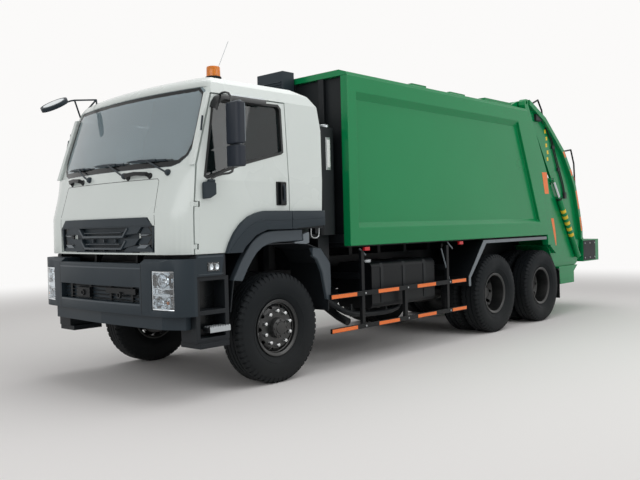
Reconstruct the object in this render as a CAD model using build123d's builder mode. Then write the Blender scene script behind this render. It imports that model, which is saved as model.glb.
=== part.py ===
"""Rear-loading garbage truck: a three-axle chassis with a tilting cab, a closed load body and a lifting tailgate.

Frame: +X is the truck's left side, +Y runs rearwards, +Z is up. The origin is on the ground under the middle of
the truck's box. Units are millimetres. Places along the truck are stations, measured rearwards from the front
axle and turned into frame coordinates by station(). Heights are from the ground and widths from the centre plane.
"""

import os
from math import cos, radians, sin

from build123d import *

# --- wheels and axles ---------------------------------------------------------------------------------------------
tyre_radius = 535.0  # 11.00R20 under load
tyre_width = 290.0
tread_width = 202.0
bead_radius = 254.0
rim_flange_radius = 277.0
rim_width = 204.0
rim_wall = 10.0
wheel_studs = 10
stud_circle_radius = 167.5
stud_radius = 11.0
hand_hole_radius = 21.0
hand_hole_circle = 216.0
wheelbase = 4080.0  # front axle to first rear axle
tandem_spacing = 1370.0
front_track = 2060.0
dual_track = 1850.0  # between the middles of the twin wheels
dual_spacing = 325.0  # between the two tyres of a twin
stub_radius = 38.0
drum_radius = 205.0
kingpin_x = 832.0
kingpin_radius = 24.0
bearing_clearance = 0.1
seat_clearance = 0.3
steer_lock = 35.0

# --- chassis ------------------------------------------------------------------------------------------------------
front_overhang = 1300.0  # front axle to the bumper's face
frame_half_width = 425.0
frame_top = 1040.0
frame_height = 280.0
frame_flange = 85.0
frame_web = 8.0
frame_front = -1195.0
frame_rear = 5690.0
bumper_top = 1258.0
bumper_bottom = 762.0
bumper_half_width = 1235.0
bumper_lip = 1220.0  # top of the bumper between its corner modules
bumper_lip_half_width = 706.0
bumper_rear = -1045.0
bumper_hollow_half_width = 720.0
valance_bottom = 640.0

# --- cab ----------------------------------------------------------------------------------------------------------
cab_half_width = 1200.0
cab_bottom = 1297.0
cab_waist = 1950.0
cab_eaves = 2735.0
cab_eaves_half_width = 1160.0
cab_top = 2945.0
cab_wall = 55.0
cab_rear = 600.0
cab_arch_height = 1500.0
flare_height = 173.0  # from the wheel arch up to the top of its flare
cab_nose = -1215.0
door_rear = 124.0
door_gap = 12.0
door_hinge_foot = (1182.0, -1012.0, 1297.0)  # side distance, station and height of the leaning hinge line
door_hinge_head = (1182.0, -964.0, 2075.0)
tilt_pivot = (-1150.0, 1090.0)  # station and height of the cab's tilting axis
tilt_pin_radius = 20.0
glass_thickness = 8.0
windshield_bottom = 2075.0
windshield_top = 2800.0
cab_floor_top = 1440.0
cab_floor_thickness = 50.0
engine_cover_top = 1690.0
flare_stand_out = 36.0

# --- load body ----------------------------------------------------------------------------------------------------
body_half_width = 1250.0
body_wall = 100.0
body_front = 985.0
body_post = 145.0
body_bottom = 1296.0
body_rail_top = 3120.0
body_top = 3185.0
body_floor_bottom = 1280.0
body_floor_top = 1330.0
panel_recess = 48.0
rear_slant_top = (4980.0, 3250.0)  # station and height of the slanted rear edge's ends
rear_slant_foot = (5730.0, 1140.0)

# --- tailgate -----------------------------------------------------------------------------------------------------
tailgate_half_width = 1200.0
tailgate_plate = (1115.0, 1155.0)
seal_gap = 8.0
sill_station = 6930.0
sill_height = 1180.0
tub_depth = 660.0
hinge_station = 5060.0
hinge_height = 3250.0
hinge_radius = 25.0
packer_half_width = 1080.0
packer_hinge = (6250.0, 1500.0)  # station and height of the blade's hinge, lowered
packer_travel = 950.0
slide_angle = 54.5  # the packer's guides, below the horizontal
cylinder_x = 1200.0
cylinder_radius = 42.0
piston_rod_radius = 24.0

# --- the frame's origin -------------------------------------------------------------------------------------------
rear_overhang = sill_station + tub_depth  # front axle to the loading tub's lip
front_axle_y = (front_overhang - rear_overhang) / 2
sides = (("left", 1), ("right", -1))


def station(distance):
    """Turn a distance behind the front axle into a Y coordinate."""
    return front_axle_y + distance


def mirrored(limits, side):
    """Return (low, high) side distances, on the left for side 1 and on the right for side -1."""
    return tuple(sorted((side * limits[0], side * limits[1])))


def block(x, y, z, mode=Mode.ADD):
    """Add a block; x and z are (low, high) and y is (front, rear) in stations."""
    middle = ((x[0] + x[1]) / 2, station((y[0] + y[1]) / 2), (z[0] + z[1]) / 2)
    with Locations(middle):
        Box(x[1] - x[0], y[1] - y[0], z[1] - z[0], mode=mode)


def side_outline(points, x, mode=Mode.ADD):
    """Extrude an outline seen from the side, of (station, height) points, from x[0] to x[1]."""
    with BuildSketch(Plane.YZ.offset(x[0])) as outline:
        with BuildLine():
            Polyline(*[(station(along), up) for along, up in points], close=True)
        make_face()
    extrude(outline.sketch, amount=x[1] - x[0], mode=mode)


def front_outline(points, y, mode=Mode.ADD):
    """Extrude an outline seen from the front, of (x, height) points, between two stations."""
    with BuildSketch(Plane.XZ.offset(-station(y[1]))) as outline:
        with BuildLine():
            Polyline(*points, close=True)
        make_face()
    extrude(outline.sketch, amount=y[1] - y[0], mode=mode)


def plan_outline(points, z, mode=Mode.ADD):
    """Extrude an outline seen from above, of (x, station) points, from z[0] to z[1]."""
    with BuildSketch(Plane.XY.offset(z[0])) as outline:
        with BuildLine():
            Polyline(*[(across, station(along)) for across, along in points], close=True)
        make_face()
    extrude(outline.sketch, amount=z[1] - z[0], mode=mode)


def rod(start, end, radius, mode=Mode.ADD):
    """Add a round bar between two (x, station, height) points."""
    first = Vector(start[0], station(start[1]), start[2])
    last = Vector(end[0], station(end[1]), end[2])
    with BuildSketch(Plane(origin=first, z_dir=last - first)) as section:
        Circle(radius)
    extrude(section.sketch, amount=(last - first).length, mode=mode)


def offset_line(points, distance):
    """Move an open line to the left of the way its points run, with mitred corners; below 0 is to the right."""
    moved = []
    for index, point in enumerate(points):
        before = points[max(index - 1, 0)]
        after = points[min(index + 1, len(points) - 1)]
        runs = [Vector(point) - Vector(before), Vector(after) - Vector(point)]
        normals = [Vector(-run.Y, run.X).normalized() for run in runs if run.length > 0]
        mitre = (normals[0] + normals[-1]) * (distance / (1 + normals[0].dot(normals[-1])))
        moved.append((point[0] + mitre.X, point[1] + mitre.Y))
    return moved


def bent_sheet(points, thickness, x):
    """Extrude a sheet along (station, height) points, its thickness on the left of the way they run."""
    side_outline(points + offset_line(points, thickness)[::-1], x)


def wheel_ring(profile, x, along, height):
    """Revolve a closed profile of (offset along the axle, radius) points about a wheel's axis."""
    with BuildSketch(Plane.XZ.offset(-station(along))) as section:
        with BuildLine():
            Polyline(*[(x + across, height + out) for across, out in profile], close=True)
        make_face()
    revolve(section.sketch, axis=Axis((0, station(along), height), (1, 0, 0)))


def save(builder, name):
    """Label a finished piece and write it to its STEP file."""
    builder.part.label = name
    export_step(builder.part, f"parts/{name}.step")


def rear_slant(height, inset=0.0):
    """Station of the load body's slanted rear edge at a height, moved forward by an inset."""
    slope = (rear_slant_foot[0] - rear_slant_top[0]) / (rear_slant_top[1] - rear_slant_foot[1])
    return rear_slant_top[0] + (rear_slant_top[1] - height) * slope - inset


os.makedirs("parts", exist_ok=True)
axle_height = tyre_radius
frame_bottom = frame_top - frame_height
rear_stations = (wheelbase, wheelbase + tandem_spacing)

# === frame rails and crossmembers =================================================================================
crossmembers = (-1000.0, 900.0, 1900.0, 2900.0, wheelbase - 320, wheelbase + tandem_spacing / 2, frame_rear - 60)
tow_pin_radius = 21.0
mount_post_y = (480.0, 560.0)
with BuildPart() as frame:
    rail_y = (frame_front, frame_rear)
    for name, side in sides:
        inner_lip = frame_half_width - frame_flange
        block(mirrored((frame_half_width - frame_web, frame_half_width), side), rail_y, (frame_bottom, frame_top))
        block(mirrored((inner_lip, frame_half_width), side), rail_y, (frame_bottom, frame_bottom + frame_web))
        block(mirrored((inner_lip, frame_half_width), side), rail_y, (frame_top - frame_web, frame_top))
    for along in crossmembers:
        reach = frame_half_width - frame_web
        block((-reach, reach), (along - 40, along + 40), (frame_bottom + 60, frame_top - 60))
    pivot_along, pivot_up = tilt_pivot
    bracket = [(pivot_along - 35, frame_top), (pivot_along + 50, frame_top), (pivot_along + 30, pivot_up + 20),
               (pivot_along, pivot_up + 35), (pivot_along - 30, pivot_up + 20)]
    for name, side in sides:
        side_outline(bracket, mirrored((388, 418), side))
        rod((side * 345, *tilt_pivot), (side * 418, *tilt_pivot), tilt_pin_radius)
        block(mirrored((345, frame_half_width), side), mount_post_y,
              (frame_top, cab_floor_top - cab_floor_thickness - seat_clearance))
    for jaw in ((frame_bottom + 60, frame_bottom + 90), (frame_bottom + 150, frame_bottom + 180)):
        block((-70, 70), (frame_rear - 30, frame_rear + 90), jaw)
    rod((0, frame_rear + 45, frame_bottom), (0, frame_rear + 45, frame_top), tow_pin_radius, mode=Mode.SUBTRACT)
save(frame, "frame")

# === engine, one block with its gearbox behind ====================================================================
engine_rear = 780.0
with BuildPart() as engine:
    block((-330, 330), (-800, engine_rear), (620, 1370))
save(engine, "engine")

# === front axle: drop beam, kingpin eyes and leaf springs =========================================================
beam_half = 45.0
eye_radius = 48.0
eye_half_height = 65.0
spring_x = (345.0, frame_half_width)
with BuildPart() as front_axle:
    front_outline(
        [(-kingpin_x, 500), (-640, 400), (640, 400), (kingpin_x, 500), (kingpin_x, 575), (600, 490), (-600, 490),
         (-kingpin_x, 575)],
        (-beam_half, beam_half),
    )
    for name, side in sides:
        eye = (side * kingpin_x, 0, axle_height)
        rod((*eye[:2], axle_height - eye_half_height), (*eye[:2], axle_height + eye_half_height), eye_radius)
        rod((*eye[:2], 300), (*eye[:2], 800), kingpin_radius + bearing_clearance, mode=Mode.SUBTRACT)
        leaf_x = mirrored(spring_x, side)
        bent_sheet([(760, 712), (390, 590), (0, 540), (-390, 590), (-760, 712)], -48, leaf_x)
        block(leaf_x, (-75, 75), (480, 545))
        block(leaf_x, (700, 800), (712, frame_bottom))
        block(leaf_x, (-800, -700), (712, frame_bottom))
save(front_axle, "front_axle")

# === rear axles, their drive heads and the propeller shaft ========================================================
axle_tube_radius = 62.0
with BuildPart() as rear_axles:
    for along in rear_stations:
        reach = dual_track / 2 - 160
        rod((-reach, along, axle_height), (reach, along, axle_height), axle_tube_radius)
        rod((-reach - 220, along, axle_height), (reach + 220, along, axle_height), stub_radius)
        rod((0, along - 190, axle_height), (0, along + 190, axle_height), 175)
    rod((0, rear_stations[0] + 150, axle_height), (0, rear_stations[1] - 150, axle_height), 50)
    rod((0, engine_rear + 560, 690), (0, rear_stations[0] - 150, axle_height + 20), 52)
    block((-170, 170), (engine_rear, engine_rear + 600), (590, 810))
save(rear_axles, "rear_axles")

# === rear suspension: walking leaf springs on a trunnion ==========================================================
rear_spring_x = (frame_half_width + 18, frame_half_width + 98)
trunnion_station = wheelbase + tandem_spacing / 2
with BuildPart() as rear_suspension:
    rod((-rear_spring_x[1], trunnion_station, 652), (rear_spring_x[1], trunnion_station, 652), 58)
    for name, side in sides:
        leaf_x = mirrored(rear_spring_x, side)
        pad_top = axle_height + axle_tube_radius + 12
        ends = [
            (rear_stations[1] + 60, pad_top),
            (rear_stations[1] - 60, pad_top),
            (trunnion_station, 710),
            (rear_stations[0] + 60, pad_top),
            (rear_stations[0] - 60, pad_top),
        ]
        bent_sheet(ends, -80, leaf_x)
        block(leaf_x, (trunnion_station - 90, trunnion_station + 90), (640, 730))
        for along in rear_stations:
            block(leaf_x, (along - 40, along + 40), (axle_height + axle_tube_radius - 1, pad_top))
        block(mirrored((frame_half_width - 60, frame_half_width), side),
              (trunnion_station - 110, trunnion_station + 110), (600, frame_bottom))
with BuildPart() as axle_cutter:
    for along in rear_stations:
        rod((-700, along, axle_height), (700, along, axle_height), axle_tube_radius + seat_clearance)
with BuildPart() as rear_suspension_cut:
    add(rear_suspension.part)
    add(axle_cutter.part, mode=Mode.SUBTRACT)
save(rear_suspension_cut, "rear_suspension")


# === bumper, with pockets for the lamps and the air opening =======================================================
def bumper_plan(inset):
    """Sketch the bumper's curved outline from above, drawn inwards by an inset."""
    nose = -front_overhang + inset
    end_x = bumper_half_width - inset
    with BuildSketch(Plane.XY) as outline:
        with BuildLine():
            ThreePointArc((-950, station(nose + 48)), (0, station(nose)), (950, station(nose + 48)))
            ThreePointArc((950, station(nose + 48)), (1150, station(nose + 118)), (end_x, station(nose + 225)))
            Polyline((end_x, station(nose + 225)), (end_x, station(bumper_rear)), (-end_x, station(bumper_rear)),
                     (-end_x, station(nose + 225)))
            ThreePointArc((-end_x, station(nose + 225)), (-1150, station(nose + 118)), (-950, station(nose + 48)))
        make_face()
    return outline.sketch


lamp_x = (866.0, 1114.0)
lamp_z = (820.0, 1156.0)
lamp_back = -1115.0
lamp_gap = 4.0
opening_half = 698.0
opening_z = (862.0, 1010.0)
bumper_face = 1350.0  # ahead of everything on the bumper
with BuildPart() as bumper:
    extrude(bumper_plan(0).moved(Location((0, 0, bumper_bottom))), amount=bumper_top - bumper_bottom)
    block((-bumper_lip_half_width, bumper_lip_half_width), (-bumper_face, bumper_rear + 1),
          (bumper_lip, bumper_top + 1), mode=Mode.SUBTRACT)
    side_outline([(-bumper_face, bumper_top - 95), (-bumper_face, bumper_top + 1),
                  (-front_overhang + 80, bumper_top + 1), (-front_overhang + 80, bumper_top)],
                 (-bumper_half_width, bumper_half_width), mode=Mode.SUBTRACT)
    block((-opening_half, opening_half), (-bumper_face, frame_front - 20), opening_z, mode=Mode.SUBTRACT)
    plan_outline([(-1130, bumper_rear), (-1130, -1100), (-930, -1205), (0, -1248), (930, -1205), (1130, -1100),
                  (1130, bumper_rear)], (valance_bottom, bumper_bottom))
    block((-bumper_hollow_half_width, bumper_hollow_half_width), (frame_front, bumper_rear + 1),
          (frame_bottom - 5, bumper_top + 1), mode=Mode.SUBTRACT)
    for name, side in sides:
        block(mirrored((lamp_x[0] - lamp_gap, lamp_x[1] + lamp_gap), side), (-bumper_face, lamp_back),
              (lamp_z[0] - lamp_gap, lamp_z[1] + lamp_gap), mode=Mode.SUBTRACT)
save(bumper, "bumper")

lens_inset = 7.0
with BuildPart() as lamp_space:
    for name, side in sides:
        block(mirrored(lamp_x, side), (-bumper_face, lamp_back), lamp_z)
with BuildPart() as headlamps:
    extrude(bumper_plan(lens_inset).moved(Location((0, 0, lamp_z[0]))), amount=lamp_z[1] - lamp_z[0])
    add(lamp_space.part, mode=Mode.INTERSECT)
save(headlamps, "headlamps")

# === front mudguards with the cab's steps =========================================================================
guard_path = [(672, 640), (690, 1132), (560, 1283), (330, 1361), (-250, 1361), (-430, 1290), (-610, 1038), (-655, 760)]
step_front = bumper_rear + 6
step_rear = -668.0
with BuildPart() as front_mudguards:
    for name, side in sides:
        bent_sheet(guard_path, 12, mirrored((640, cab_half_width), side))
        block(mirrored((frame_half_width, 800), side), (676, 720), (900, 950))
        block(mirrored((frame_half_width, 980), side), (-700, -654), (900, 950))
        block(mirrored((cab_half_width - 70, cab_half_width + 12), side), (step_front, -705), (1094, 1281))
        block(mirrored((980, cab_half_width), side), (step_front, step_rear), (520, 1094))
        block(mirrored((1040, cab_half_width + 10), side), (step_front + 45, step_rear - 45), (800, 1060),
              mode=Mode.SUBTRACT)
        block(mirrored((1040, cab_half_width + 10), side), (step_front + 45, step_rear - 45), (560, 760),
              mode=Mode.SUBTRACT)
        block(mirrored((940, cab_half_width + 22), side), (step_front + 20, step_rear - 20), (470, 520))
save(front_mudguards, "front_mudguards")

# === tanks and boxes on the frame's sides =========================================================================
tank_x = (610.0, 1120.0)
with BuildPart() as fuel_tank:
    block(tank_x, (1480, 2720), (570, 1090))
    fillet(fuel_tank.edges().filter_by(Axis.Y), 60)
    for along in (1620, 2560):
        block((frame_half_width, tank_x[0]), (along, along + 70), (780, 860))
save(fuel_tank, "fuel_tank")

with BuildPart() as battery_box:
    block((-1120, -610), (1480, 2080), (600, 1080))
    block((-610, -frame_half_width), (1600, 1900), (790, 870))
    for along in (2250, 2760):
        rod((-800, along, 760), (-800, along + 440, 760), 150)
        block((-700, -frame_half_width), (along + 190, along + 250), (780, 840))
save(battery_box, "battery_box")

# === exhaust: silencer, support and turned-down pipe ==============================================================
with BuildPart() as exhaust:
    rod((640, 800, 700), (640, 1330, 700), 120)
    rod((640, 1330, 700), (640, 1400, 700), 45)
    rod((640, 760, 700), (640, 800, 700), 45)
    block((frame_half_width, 570), (1035, 1085), (765, 800))
    rod((640, 1060, 700), (980, 1060, 520), 42)
    rod((980, 1060, 520), (1120, 1060, 470), 42)
    with Locations((980, station(1060), 520)):
        Sphere(42)
save(exhaust, "exhaust")

# === side guards: two rails each on stays =========================================================================
guard_rail_x = (1205.0, 1232.0)
guard_rail_y = (675.0, 3280.0)
guard_rails = ((394.0, 445.0), (750.0, 802.0))  # bottom and top of each rail
guard_stays = (1230.0, 2900.0)
guard_stay_x = (1165.0, guard_rail_x[0] - seat_clearance)
with BuildPart() as side_guards:
    for name, side in sides:
        for heights in guard_rails:
            block(mirrored(guard_rail_x, side), guard_rail_y, heights)
        for along in guard_stays:
            block(mirrored(guard_stay_x, side), (along - 25, along + 25), (guard_rails[0][0], 1240))
            block(mirrored((frame_half_width, guard_stay_x[0] - seat_clearance), side), (along - 25, along + 25),
                  (930, 990))
        block(mirrored(guard_stay_x, side), (1985, 2035), (guard_rails[0][0], guard_rails[1][1]))
save(side_guards, "side_guards")

# === rear fenders, their brackets and the mudflaps ================================================================
fender_x = (632.0, 1240.0)
fender_under = 1262.0
fender_thickness = 12.0
flap_bar_z = (735.0, 760.0)
with BuildPart() as rear_fenders:
    for name, side in sides:
        bent_sheet([(5560, fender_under), (3725, fender_under), (3340, 809), (3340, 690)], -fender_thickness,
                   mirrored(fender_x, side))
        for along in (3690.0, trunnion_station, 5585.0 - 60):
            block(mirrored((frame_half_width, 600), side), (along - 25, along + 25), (980, 1020))
            block(mirrored((570, 600), side), (along - 25, along + 25), (980, fender_under))
            block(mirrored((570, 660), side), (along - 25, along + 25), (fender_under - 30, fender_under))
        block(mirrored((frame_half_width - 60, fender_x[1] - 10), side), (5953, 5994), flap_bar_z)
        block(mirrored((frame_half_width - 60, frame_half_width - 20), side), (5600, 5994), flap_bar_z)
        block(mirrored((640, fender_x[1] - 10), side), (5994, 6002), (300, flap_bar_z[1]))
save(rear_fenders, "rear_fenders")

# === air intake and hydraulic oil tank behind the cab =============================================================
with BuildPart() as air_intake:
    block((60, 480), (790, 965), (1500, 3250))
    block((60, 330), (865, 935), (frame_top - 60, 1500))
save(air_intake, "air_intake")

with BuildPart() as hydraulic_tank:
    block((640, 1090), (700, 950), (1420, 2560))
    fillet(hydraulic_tank.edges().filter_by(Axis.Z), 50)
    block((frame_half_width - 80, 1000), (740, 910), (frame_top, 1420))
save(hydraulic_tank, "hydraulic_tank")

# === load body: floor, sides, roof and headboard ==================================================================
floor_half = body_half_width - body_wall
headboard_rear = body_front + 100
floor_front = headboard_rear + seat_clearance
bearer_half = 560.0
bearer_length = 60.0
bearer_pitch = 550.0
bearer_count = 9
beam_top = 1160.0
first_bearer = body_front + 215
with BuildPart() as body_floor:
    side_outline([(floor_front, body_floor_bottom), (rear_slant(body_floor_bottom, 20), body_floor_bottom),
                  (rear_slant(body_floor_top, 20), body_floor_top), (floor_front, body_floor_top)],
                 (-floor_half, floor_half))
    for name, side in sides:
        block(mirrored((frame_half_width - frame_flange, frame_half_width), side), (body_front + 60, frame_rear - 20),
              (frame_top, beam_top - seat_clearance))
    for number in range(bearer_count):
        along = first_bearer + number * bearer_pitch
        block((-bearer_half, bearer_half), (along, along + bearer_length),
              (beam_top, body_floor_bottom - seat_clearance))
save(body_floor, "body_floor")

panel_x = body_half_width - panel_recess
with BuildPart() as body_sides:
    for name, side in sides:
        wall = [
            (floor_half, body_bottom),
            (body_half_width, body_bottom),
            (body_half_width, 1486),
            (panel_x, 1545),
            (panel_x, 2925),
            (body_half_width, 2945),
            (body_half_width, body_rail_top),
            (floor_half, body_rail_top),
        ]
        front_outline([(side * across, up) for across, up in wall], (body_front + 30, 5800))
    past_edge = [(rear_slant(1000), 1000), (rear_slant(3400), 3400), (6200, 3400), (6200, 1000)]
    side_outline(past_edge, (-1400, 1400), mode=Mode.SUBTRACT)
    for name, side in sides:
        outer = mirrored((floor_half, body_half_width), side)
        block(outer, (body_front, body_front + body_post), (body_bottom, body_rail_top))
        rear_post = [(4650, body_rail_top), (rear_slant(body_rail_top), body_rail_top), (rear_slant(1143), 1143),
                     (5600, 1143), (5580, body_bottom), (5425, body_bottom)]
        side_outline(rear_post, outer)
save(body_sides, "body_sides")

roof_edge_half = body_half_width - 8
roof_pads = (  # front and rear station and top of the plates that stiffen the roof
    (2320.0, 2620.0, 3207.0),
    (3150.0, 3510.0, 3203.0),
    (4020.0, 4750.0, 3222.0),
)
with BuildPart() as body_roof:
    section = [
        (-roof_edge_half, body_rail_top),
        (roof_edge_half, body_rail_top),
        (roof_edge_half - 10, body_rail_top + 30),
        (roof_edge_half - 110, body_top),
        (-roof_edge_half + 110, body_top),
        (-roof_edge_half + 10, body_rail_top + 30),
    ]
    front_outline(section, (body_front, 5300))
    for front, rear, top in roof_pads:
        block((-1130, 1130), (front, rear), (body_top - 20, top))
    side_outline([(rear_slant(3000), 3000), (rear_slant(3400), 3400), (6200, 3400), (6200, 3000)], (-1400, 1400),
                 mode=Mode.SUBTRACT)
    for name, side in sides:
        ear = [(4700, body_top - 20), (4960, body_top - 20), (5085, hinge_height - 30), (5096, hinge_height + 10),
               (5060, hinge_height + 36), (5010, hinge_height + 30)]
        side_outline(ear, mirrored((1055, 1095), side))
        rod((side * 1090, hinge_station, hinge_height), (side * (tailgate_plate[1] + 5), hinge_station, hinge_height),
            hinge_radius)
save(body_roof, "body_roof")

with BuildPart() as body_headboard:
    block((-floor_half, floor_half), (body_front + 50, headboard_rear), (body_floor_bottom, body_rail_top))
    for across in (-860, -430, 0, 430, 860):
        block((across - 40, across + 40), (body_front + 5, body_front + 60), (body_floor_top, body_rail_top))
    block((-floor_half, floor_half), (body_front + 5, body_front + 60), (body_floor_top, body_floor_top + 90))
save(body_headboard, "body_headboard")


# === cab shell ====================================================================================================
def cab_band(side, inset=0.0):
    """Outline, seen from the front, of one side wall of the cab, drawn inwards by an inset."""
    outer = [(cab_half_width - inset, frame_top), (cab_half_width - inset, cab_waist),
             (cab_eaves_half_width - inset, cab_eaves)]
    inner = [(across - cab_wall + 2 * inset, up) for across, up in reversed(outer)]
    return [(side * across, up) for across, up in outer + inner]


def on_door_hinge(height, side):
    """The (x, station, height) point of a door's leaning hinge line at a height."""
    share = (height - door_hinge_foot[2]) / (door_hinge_head[2] - door_hinge_foot[2])
    return (side * door_hinge_foot[0], door_hinge_foot[1] + share * (door_hinge_head[1] - door_hinge_foot[1]), height)


hinge_leaves = ((1345.0, 1385.0), (1715.0, 1755.0))  # bottom and top of each leaf of a door's hinges
hinge_pin_radius = 8.0
hinge_pin_length = 25.0  # past each end of a leaf
hinge_knuckle_radius = 13.0
hinge_notch_radius = 42.0
hinge_end_gap = 5.0
door_front_line = [(-1030, cab_bottom), (-1027, 1660), (-982, windshield_bottom), (-772, cab_eaves - door_gap)]
door_outline = [
    *door_front_line,
    (door_rear, cab_eaves - door_gap),
    (door_rear, cab_arch_height),
    (-200, cab_arch_height),
    (-350, cab_arch_height - 50),
    (-480, cab_arch_height - 150),
    (-520, cab_bottom),
]
window_outline = [(-898, 1985), (-765, 2635), (-735, 2668), (35, 2690), (62, 2660), (62, 2250), (40, 2235),
                  (-433, 2117), (-880, 1972)]
pillar = [(-1035, windshield_bottom), (-822, cab_eaves), (-787, cab_eaves), (-1000, windshield_bottom)]
quarter = [(door_rear + door_gap, cab_eaves), (cab_rear - 5, cab_eaves), (cab_rear + 35, 2500),
           (cab_rear, cab_arch_height + flare_height + 17),
           (cab_rear, cab_arch_height), (door_rear + door_gap, cab_arch_height)]
with BuildPart() as quarter_cutter:
    for outline in (pillar, quarter):
        side_outline(outline, (-1300, 1300))
with BuildPart() as cab_sides:
    for name, side in sides:
        front_outline(cab_band(side), (-1100, cab_rear + 100))
    add(quarter_cutter.part, mode=Mode.INTERSECT)
    flare = [(door_rear + door_gap, cab_arch_height), (cab_rear, cab_arch_height + 30),
             (cab_rear, cab_arch_height + flare_height), (door_rear + door_gap, cab_arch_height + flare_height)]
    for name, side in sides:
        side_outline(flare, mirrored((cab_half_width - 1, cab_half_width + flare_stand_out), side))
save(cab_sides, "cab_sides")

nose_sections = (  # height, nose station, shoulder station, corner station, side end station, inner wall station
    (cab_bottom, cab_nose, cab_nose + 28, cab_nose + 78, cab_nose + 170, cab_nose + 135),
    (1660.0, cab_nose + 3, cab_nose + 31, cab_nose + 82, cab_nose + 173, cab_nose + 138),
    (windshield_bottom, cab_nose + 62, cab_nose + 153, cab_nose + 185, cab_nose + 215, cab_nose + 190),
)


cab_lean = (cab_half_width - cab_eaves_half_width) / (cab_eaves - cab_waist)


def nose_section(height, nose, shoulder, corner, end, inner):
    """Sketch one level outline of the cab's front wall."""
    wide = cab_half_width - max(height - cab_waist, 0) * cab_lean
    with BuildSketch(Plane.XY.offset(height)) as outline:
        with BuildLine():
            ThreePointArc((-900, station(shoulder)), (0, station(nose)), (900, station(shoulder)))
            ThreePointArc((900, station(shoulder)), (1100, station(corner)), (wide, station(end)))
            Polyline((wide, station(end)), (wide - cab_wall, station(end)), (880, station(inner)),
                     (-880, station(inner)), (-wide + cab_wall, station(end)), (-wide, station(end)))
            ThreePointArc((-wide, station(end)), (-1100, station(corner)), (-900, station(shoulder)))
        make_face()
    return outline.sketch


glass_rows = (  # height, half width, station in the middle, station at the ends
    (windshield_bottom, 1130.0, -1135.0, -1002.0),
    (windshield_top, 1085.0, -893.0, -768.0),
)


def glass_section(height, wide, nose, edge, front, back):
    """Sketch a level strip that follows the windshield's curve, from front to back of its outer face."""
    with BuildSketch(Plane.XY.offset(height)) as strip:
        with BuildLine():
            ThreePointArc((-wide, station(edge + front)), (0, station(nose + front)), (wide, station(edge + front)))
            Line((wide, station(edge + front)), (wide, station(edge + back)))
            ThreePointArc((wide, station(edge + back)), (0, station(nose + back)), (-wide, station(edge + back)))
            Line((-wide, station(edge + back)), (-wide, station(edge + front)))
        make_face()
    return strip.sketch


glass_corner = [(900, windshield_bottom), (1000, 2105), (1075, 2170), (1112, 2270), (1125, 2360)]
glass_outline = [
    *glass_corner, (1140, 2680), (1110, 2745), (1030, windshield_top), (-1030, windshield_top), (-1110, 2745),
    (-1140, 2680), *[(-across, up) for across, up in reversed(glass_corner)],
]
gusset_thickness = 24.0
gusset_gap = 1.5
gusset_foot = windshield_bottom - 20
with BuildPart() as gusset_space:
    gusset_line = offset_line(glass_corner, -gusset_gap)
    for name, side in sides:
        front_outline([(side * across, up) for across, up in [*gusset_line, (cab_half_width, gusset_line[-1][1]),
                                                              (cab_half_width, gusset_foot),
                                                              (gusset_line[0][0], gusset_foot)]], (-1400, -500))
grille_back = cab_nose + 55
grille_outline = [(-830, 1312), (830, 1312), (835, 1555), (800, 1560), (735, 1633), (-735, 1633), (-800, 1560),
                  (-835, 1555)]
levels = [nose_section(*row) for row in nose_sections]
gusset_rows = ((gusset_foot, *[value - 7 for value in glass_rows[0][1:]]), glass_rows[1])
with BuildPart() as gussets:
    loft([glass_section(*row, 0, gusset_thickness) for row in gusset_rows], ruled=True)
    add(gusset_space.part, mode=Mode.INTERSECT)
with BuildPart() as cab_front:
    add(gussets.part)
    loft(levels[:2], ruled=True)
    loft(levels[1:], ruled=True)
    front_outline(grille_outline, (-1400, grille_back), mode=Mode.SUBTRACT)
    for name, side in sides:
        for low, high in hinge_leaves:
            line_x, line_station, middle = on_door_hinge((low + high) / 2, side)
            block(mirrored((door_hinge_foot[0] - 7, door_hinge_foot[0] + 7), side), (-1055, line_station), (low, high))
            rod(on_door_hinge(low, side), on_door_hinge(high, side), hinge_knuckle_radius)
            rod(on_door_hinge(low - hinge_pin_length, side), on_door_hinge(high + hinge_pin_length, side),
                hinge_pin_radius)
save(cab_front, "cab_front")

slots = (  # height of the middle, half width at the middle, half height
    (1530, 385, 20),
    (1440, 365, 24),
    (1352, 300, 14),
)
with BuildPart() as grille:
    with BuildSketch(Plane.XY.offset(1300)) as plan:
        with BuildLine():
            nose = cab_nose - 8
            ThreePointArc((-850, station(nose + 26)), (0, station(nose)), (850, station(nose + 26)))
            Polyline((850, station(nose + 26)), (850, station(grille_back)), (-850, station(grille_back)),
                     (-850, station(nose + 26)))
        make_face()
    extrude(plan.sketch, amount=340)
    front_outline(grille_outline, (-1400, -1000), mode=Mode.INTERSECT)
    for middle, half, tall in slots:
        front_outline([(-half + 20, middle - tall), (half - 20, middle - tall), (half, middle + tall),
                       (-half, middle + tall)], (-1400, nose + 30), mode=Mode.SUBTRACT)
save(grille, "grille")

def back_line(height, depth):
    """A (station, height) point on the cab's rear wall below its bend, at a depth from the inner face."""
    return (cab_rear - 50 + (height - 1690) * 35 / 810 + depth, height)


rear_window_half = 700.0
rear_window_z = (2130.0, 2470.0)
with BuildPart() as cab_glass:
    loft([glass_section(*row, 0, glass_thickness) for row in glass_rows], ruled=True)
    front_outline(glass_outline, (-1400, -500), mode=Mode.INTERSECT)
    pane = [back_line(height, 21) for height in rear_window_z]
    side_outline(pane + [(along + glass_thickness, up) for along, up in reversed(pane)],
                 (-rear_window_half, rear_window_half))
save(cab_glass, "cab_glass")

with BuildPart() as glass_space:
    loft([glass_section(row[0], row[1] + 4, row[2], row[3] + 1, -300, glass_thickness + seat_clearance)
          for row in glass_rows], ruled=True)

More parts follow.
